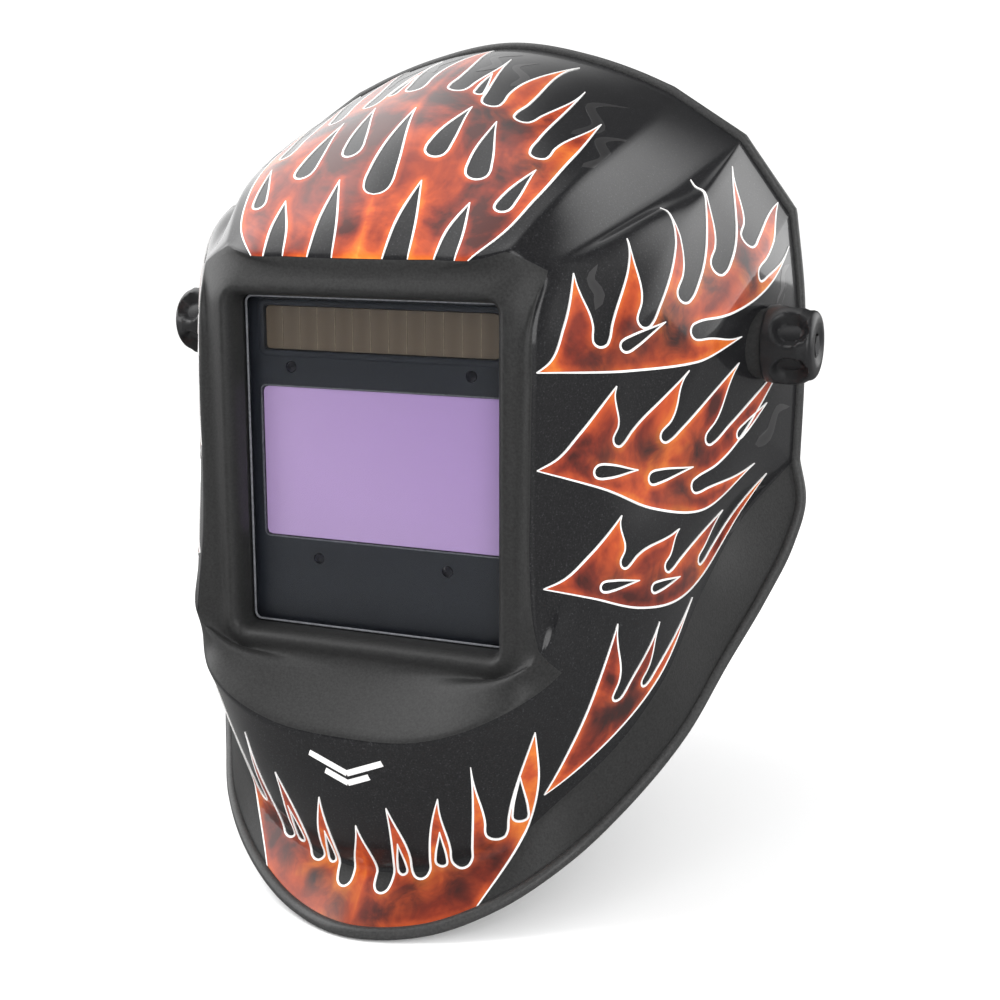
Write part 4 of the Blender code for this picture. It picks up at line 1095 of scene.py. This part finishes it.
def knob_scoops(turn, along):
    """Deep oval hollows round the knob, with full round lobes between them."""
    pitch = 2 * math.pi / SCOOPS
    off = (turn - FIRST_SCOOP + pitch / 2) % pitch - pitch / 2
    middle = KNOB_BASE + 0.42 * KNOB_LENGTH
    reach = (off / 0.50) ** 2 + ((along - middle) / (0.47 * KNOB_LENGTH)) ** 2
    if reach >= 1.0:
        return 1.0
    return 1.0 - 0.30 * min(1.0, 1.9 * (1.0 - reach)) ** 1.3


def make_knobs():
    base, end = KNOB_BASE, KNOB_BASE + KNOB_LENGTH
    skirt = PIVOT_X - 2.2
    outside = [(skirt, 13.9), (skirt, 14.4), (skirt + 0.5, 14.8)]
    outside += [(skirt + 0.5 + 14.5 * i / 30, 14.8 + 0.7 * math.sin(math.pi * i / 30)) for i in range(1, 30)]
    outside += [(end - 3.1 + 2.9 * math.sin(math.pi / 2 * i / 6), 10.4 + 3.2 * math.cos(math.pi / 2 * i / 6))
                for i in range(0, 7)]
    face = [(end, 9.0), (end - 0.15, 7.2), (end - 0.6, 6.6), (end - 0.7, 5.3), (end - 1.1, 4.8)]
    bore = [(end - 5.0, 4.7), (end - 5.1, BORE_RADIUS), (base, BORE_RADIUS), (base, 13.9)]
    for word, sign in (("left", 1), ("right", -1)):
        knob = turned_piece("knob_" + word + "_grip", outside + face + bore, sign, KNOB, "knob_" + word,
                            knob_scoops)
        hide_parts("tension_knob_" + word)
        boss = [(PIVOT_X - 9.0, BORE_RADIUS), (PIVOT_X - 9.0, 13.5), (PIVOT_X - 0.6, 13.5),
                (PIVOT_X, 12.9), (PIVOT_X, BORE_RADIUS)]
        turned_piece("pivot_boss_" + word, boss, sign, SATIN, "visor")


# ---- soft parts ---------------------------------------------------------------------------
HEAD_HALF = (79.0, 93.0)


def head_point(angle, offset):
    a = math.radians(angle)
    return ((HEAD_HALF[0] + offset) * math.sin(a), -(HEAD_HALF[1] + offset) * math.cos(a))


def make_pad(name, node, span, offsets, half_height, channels):
    """Foam pad in a fabric cover: rounded section, pulled in at its ends and at sewn channels."""
    inner, outer = offsets
    along_steps, around = 150, 40
    verts = []
    for i in range(along_steps + 1):
        t = i / along_steps
        angle = span[0] + (span[1] - span[0]) * t
        end = min(1.0, math.sin(math.pi * t) * 9.0) ** 0.5
        seam = abs(math.sin(math.pi * channels * t)) ** 0.35 if 0 < i < along_steps else 0.0
        depth = (outer - inner) * (0.70 + 0.30 * seam) * max(end, 0.06)
        tall = half_height * (0.93 + 0.07 * seam) * (0.80 + 0.20 * end)
        for k in range(around):
            turn = 2 * math.pi * k / around
            c, s = math.cos(turn), math.sin(turn)
            across = math.copysign(abs(c) ** 0.62, c)
            height = math.copysign(abs(s) ** 0.55, s) * tall
            quilt = 1.0
            if across < 0:
                quilt -= 0.16 * math.exp(-(height / (0.12 * half_height)) ** 2)
            offset = outer - depth / 2 + across * depth / 2 * quilt
            x, y = head_point(angle, offset)
            verts.append((x, y, height))
    faces = ring_faces(along_steps + 1, around, False)
    faces.append(tuple(range(around))[::-1])
    faces.append(tuple(along_steps * around + k for k in range(around)))
    pad = new_piece(name, verts, faces, [FABRIC], "headgear", angle=180, at=AT_HEAD)
    bm = bmesh.new()
    bm.from_mesh(pad.data)
    bmesh.ops.recalc_face_normals(bm, faces=bm.faces)
    bm.to_mesh(pad.data)
    bm.free()
    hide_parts(node)


# ---- finishes of the CAD solids that stay ---------------------------------------------------
# Starts of the nodes' names, their finish, and how wide their edges are eased.
FINISHES = (
    (("headband", "rear_band", "crown_strap"), BAND, 0.45),
    (("ratchet_cover", "ratchet_housing", "ratchet_knob"), satin_black("ratchet_satin", 0.016, 0.42), 0.6),
    (("slide_plate", "plate_mount", "pivot_arm"), BAND, 0.3),
    (("lens_holder",), SATIN, 0.3),
    (("lens_retainer", "retainer_latch", "adf_case"), CASE, 0.25),
    (("front_cover_lens", "inside_cover_lens"), CLEAR, 0.0),
    (("lens_gasket", "friction_washer", "outer_washer"), RUBBER, 0.0),
    (("filter_glass",), FILTER, 0.0),
    (("solar_panel",), SOLAR_CELLS, 0.0),
    (("arc_sensor",), SENSOR, 0.0),
    (("circuit_board",), BOARD, 0.0),
    (("lcd_display",), DISPLAY, 0.0),
    (("control_button", "battery_cap"), BUTTON, 0.2),
    (("coin_cell", "pivot_bolt", "pinion"), STEEL, 0.15),
    (("knob_nut",), DARK_STEEL, 0.15),
)


def ease_edges(obj, width):
    mod = obj.modifiers.new("eased_edges", "BEVEL")
    mod.width = width * MM
    mod.segments = 2
    mod.limit_method = "ANGLE"
    mod.angle_limit = math.radians(50)
    mod.harden_normals = True


def dress_cad():
    for prefixes, mat, edge in FINISHES:
        for name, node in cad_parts.items():
            if name.startswith(prefixes):
                node.data.materials.clear()
                node.data.materials.append(mat)
                if edge:
                    ease_edges(node, edge)


make_shell()
make_rim_bead()
make_flames()
make_ghost_flames()
make_chin_mark()
make_cassette_details()
make_knobs()
make_pad("sweatband_cover", "sweatband", (-72.0, 72.0), (-6.3, -0.35), 14.0, 6)
make_pad("nape_pad_cover", "rear_pad", (150.0, 210.0), (-8.6, -2.65), 17.0, 3)
dress_cad()


# ---- studio -------------------------------------------------------------------------------
CAMERA_PLACE = (0.2688, -0.6107, 0.0663)
CAMERA_YAW = 23.0                # degrees it looks towards the wearer's right
CAMERA_PITCH = 11.7              # degrees down
CAMERA_LENS = 57.6
SENSOR_WIDTH = 36.0
WORLD_LEVEL = 1.12
WORLD_IN_GLOSS = 0.05
FLOOR_IN_GLOSS = 0.16
FLOOR_GAP = 0.0003


def make_camera():
    data = bpy.data.cameras.new("camera")
    data.lens = CAMERA_LENS
    data.sensor_width = SENSOR_WIDTH
    camera = bpy.data.objects.new("camera", data)
    camera.location = CAMERA_PLACE
    yaw, pitch = math.radians(CAMERA_YAW), math.radians(CAMERA_PITCH)
    look = Vector((-math.sin(yaw) * math.cos(pitch), math.cos(yaw) * math.cos(pitch), -math.sin(pitch)))
    camera.rotation_euler = look.to_track_quat("-Z", "Y").to_euler()
    bpy.context.scene.collection.objects.link(camera)
    bpy.context.scene.camera = camera


def area_light(name, place, size, power):
    """Square light aimed at the origin, which reflections do not see."""
    data = bpy.data.lights.new(name, "AREA")
    data.shape = "RECTANGLE"
    data.size, data.size_y = size, size
    data.energy = power
    light = bpy.data.objects.new(name, data)
    light.location = place
    light.rotation_euler = (-Vector(place)).to_track_quat("-Z", "Y").to_euler()
    light.visible_glossy = False
    bpy.context.scene.collection.objects.link(light)


def make_studio():
    floor_z = min(cad_bounds[0][2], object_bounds()[0][2]) - FLOOR_GAP
    bpy.ops.mesh.primitive_plane_add(size=60.0, location=(0, 0, floor_z))
    floor = bpy.context.object
    floor.name = "floor"
    n = Nodes("floor_white", (0.97, 0.97, 0.97), 0.80, Specular_IOR_Level=0.2)
    in_gloss = n.add("ShaderNodeLightPath").outputs["Is Glossy Ray"]
    pale = n.ramp(n.noise(3.0, 2.0), [(0.3, 0.96), (0.7, 0.98)])
    n.colour(n.mix(in_gloss, pale, (FLOOR_IN_GLOSS, FLOOR_IN_GLOSS, FLOOR_IN_GLOSS)))
    floor.data.materials.append(n.material)
    make_world()
    area_light("key", (-0.75, -0.55, 1.1), 0.7, 13)
    area_light("fill", (0.9, -0.9, 0.6), 0.9, 7)
    bpy.context.scene.view_settings.view_transform = "Standard"


# Soft lights that only reflections see: direction, share of its height that counts (less makes the
# light taller), cosines of the rim and the core, strength.
GLOW = (((-0.80, 0.30, 0.45), 0.8, 0.50, 0.97, 1.5), ((0.72, -0.69, 0.0), 0.30, 0.935, 0.985, 2.6),
        ((0.72, 0.69, -0.05), 0.6, 0.72, 0.95, 2.2), ((-0.30, -0.05, 0.95), 1.0, 0.70, 0.98, 1.0),
        ((-0.95, -0.30, 0.05), 0.4, 0.80, 0.97, 2.0))


def make_world():
    """White to the eye and to matt surfaces; reflections see dark flags and a few soft lights."""
    world = bpy.data.worlds.new("studio")
    world.use_nodes = True
    tree = world.node_tree
    link = tree.links.new
    background = tree.nodes["Background"]
    background.inputs["Color"].default_value = (1, 1, 1, 1)
    direction = tree.nodes.new("ShaderNodeTexCoord").outputs["Generated"]

    def vector_maths(operation, source):
        node = tree.nodes.new("ShaderNodeVectorMath")
        node.operation = operation
        link(source, node.inputs[0])
        return node

    total = None
    for aim, upright, rim, core, strength in GLOW:
        flatten = vector_maths("MULTIPLY", direction)
        flatten.inputs[1].default_value = (1.0, 1.0, upright)
        unit = vector_maths("NORMALIZE", flatten.outputs[0])
        dot = vector_maths("DOT_PRODUCT", unit.outputs[0])
        dot.inputs[1].default_value = Vector((aim[0], aim[1], aim[2] * upright)).normalized()
        spread = tree.nodes.new("ShaderNodeMapRange")
        spread.interpolation_type = "SMOOTHSTEP"
        spread.inputs["From Min"].default_value = rim
        spread.inputs["From Max"].default_value = core
        spread.inputs["To Max"].default_value = strength
        link(dot.outputs["Value"], spread.inputs["Value"])
        add = tree.nodes.new("ShaderNodeMath")
        add.inputs[1].default_value = WORLD_IN_GLOSS
        if total is not None:
            link(total, add.inputs[1])
        link(spread.outputs[0], add.inputs[0])
        total = add.outputs[0]
    path = tree.nodes.new("ShaderNodeLightPath")
    level = tree.nodes.new("ShaderNodeMix")
    level.inputs[2].default_value = WORLD_LEVEL
    link(total, level.inputs[3])
    link(path.outputs["Is Glossy Ray"], level.inputs[0])
    link(level.outputs[0], background.inputs["Strength"])
    bpy.context.scene.world = world


make_camera()
make_studio()
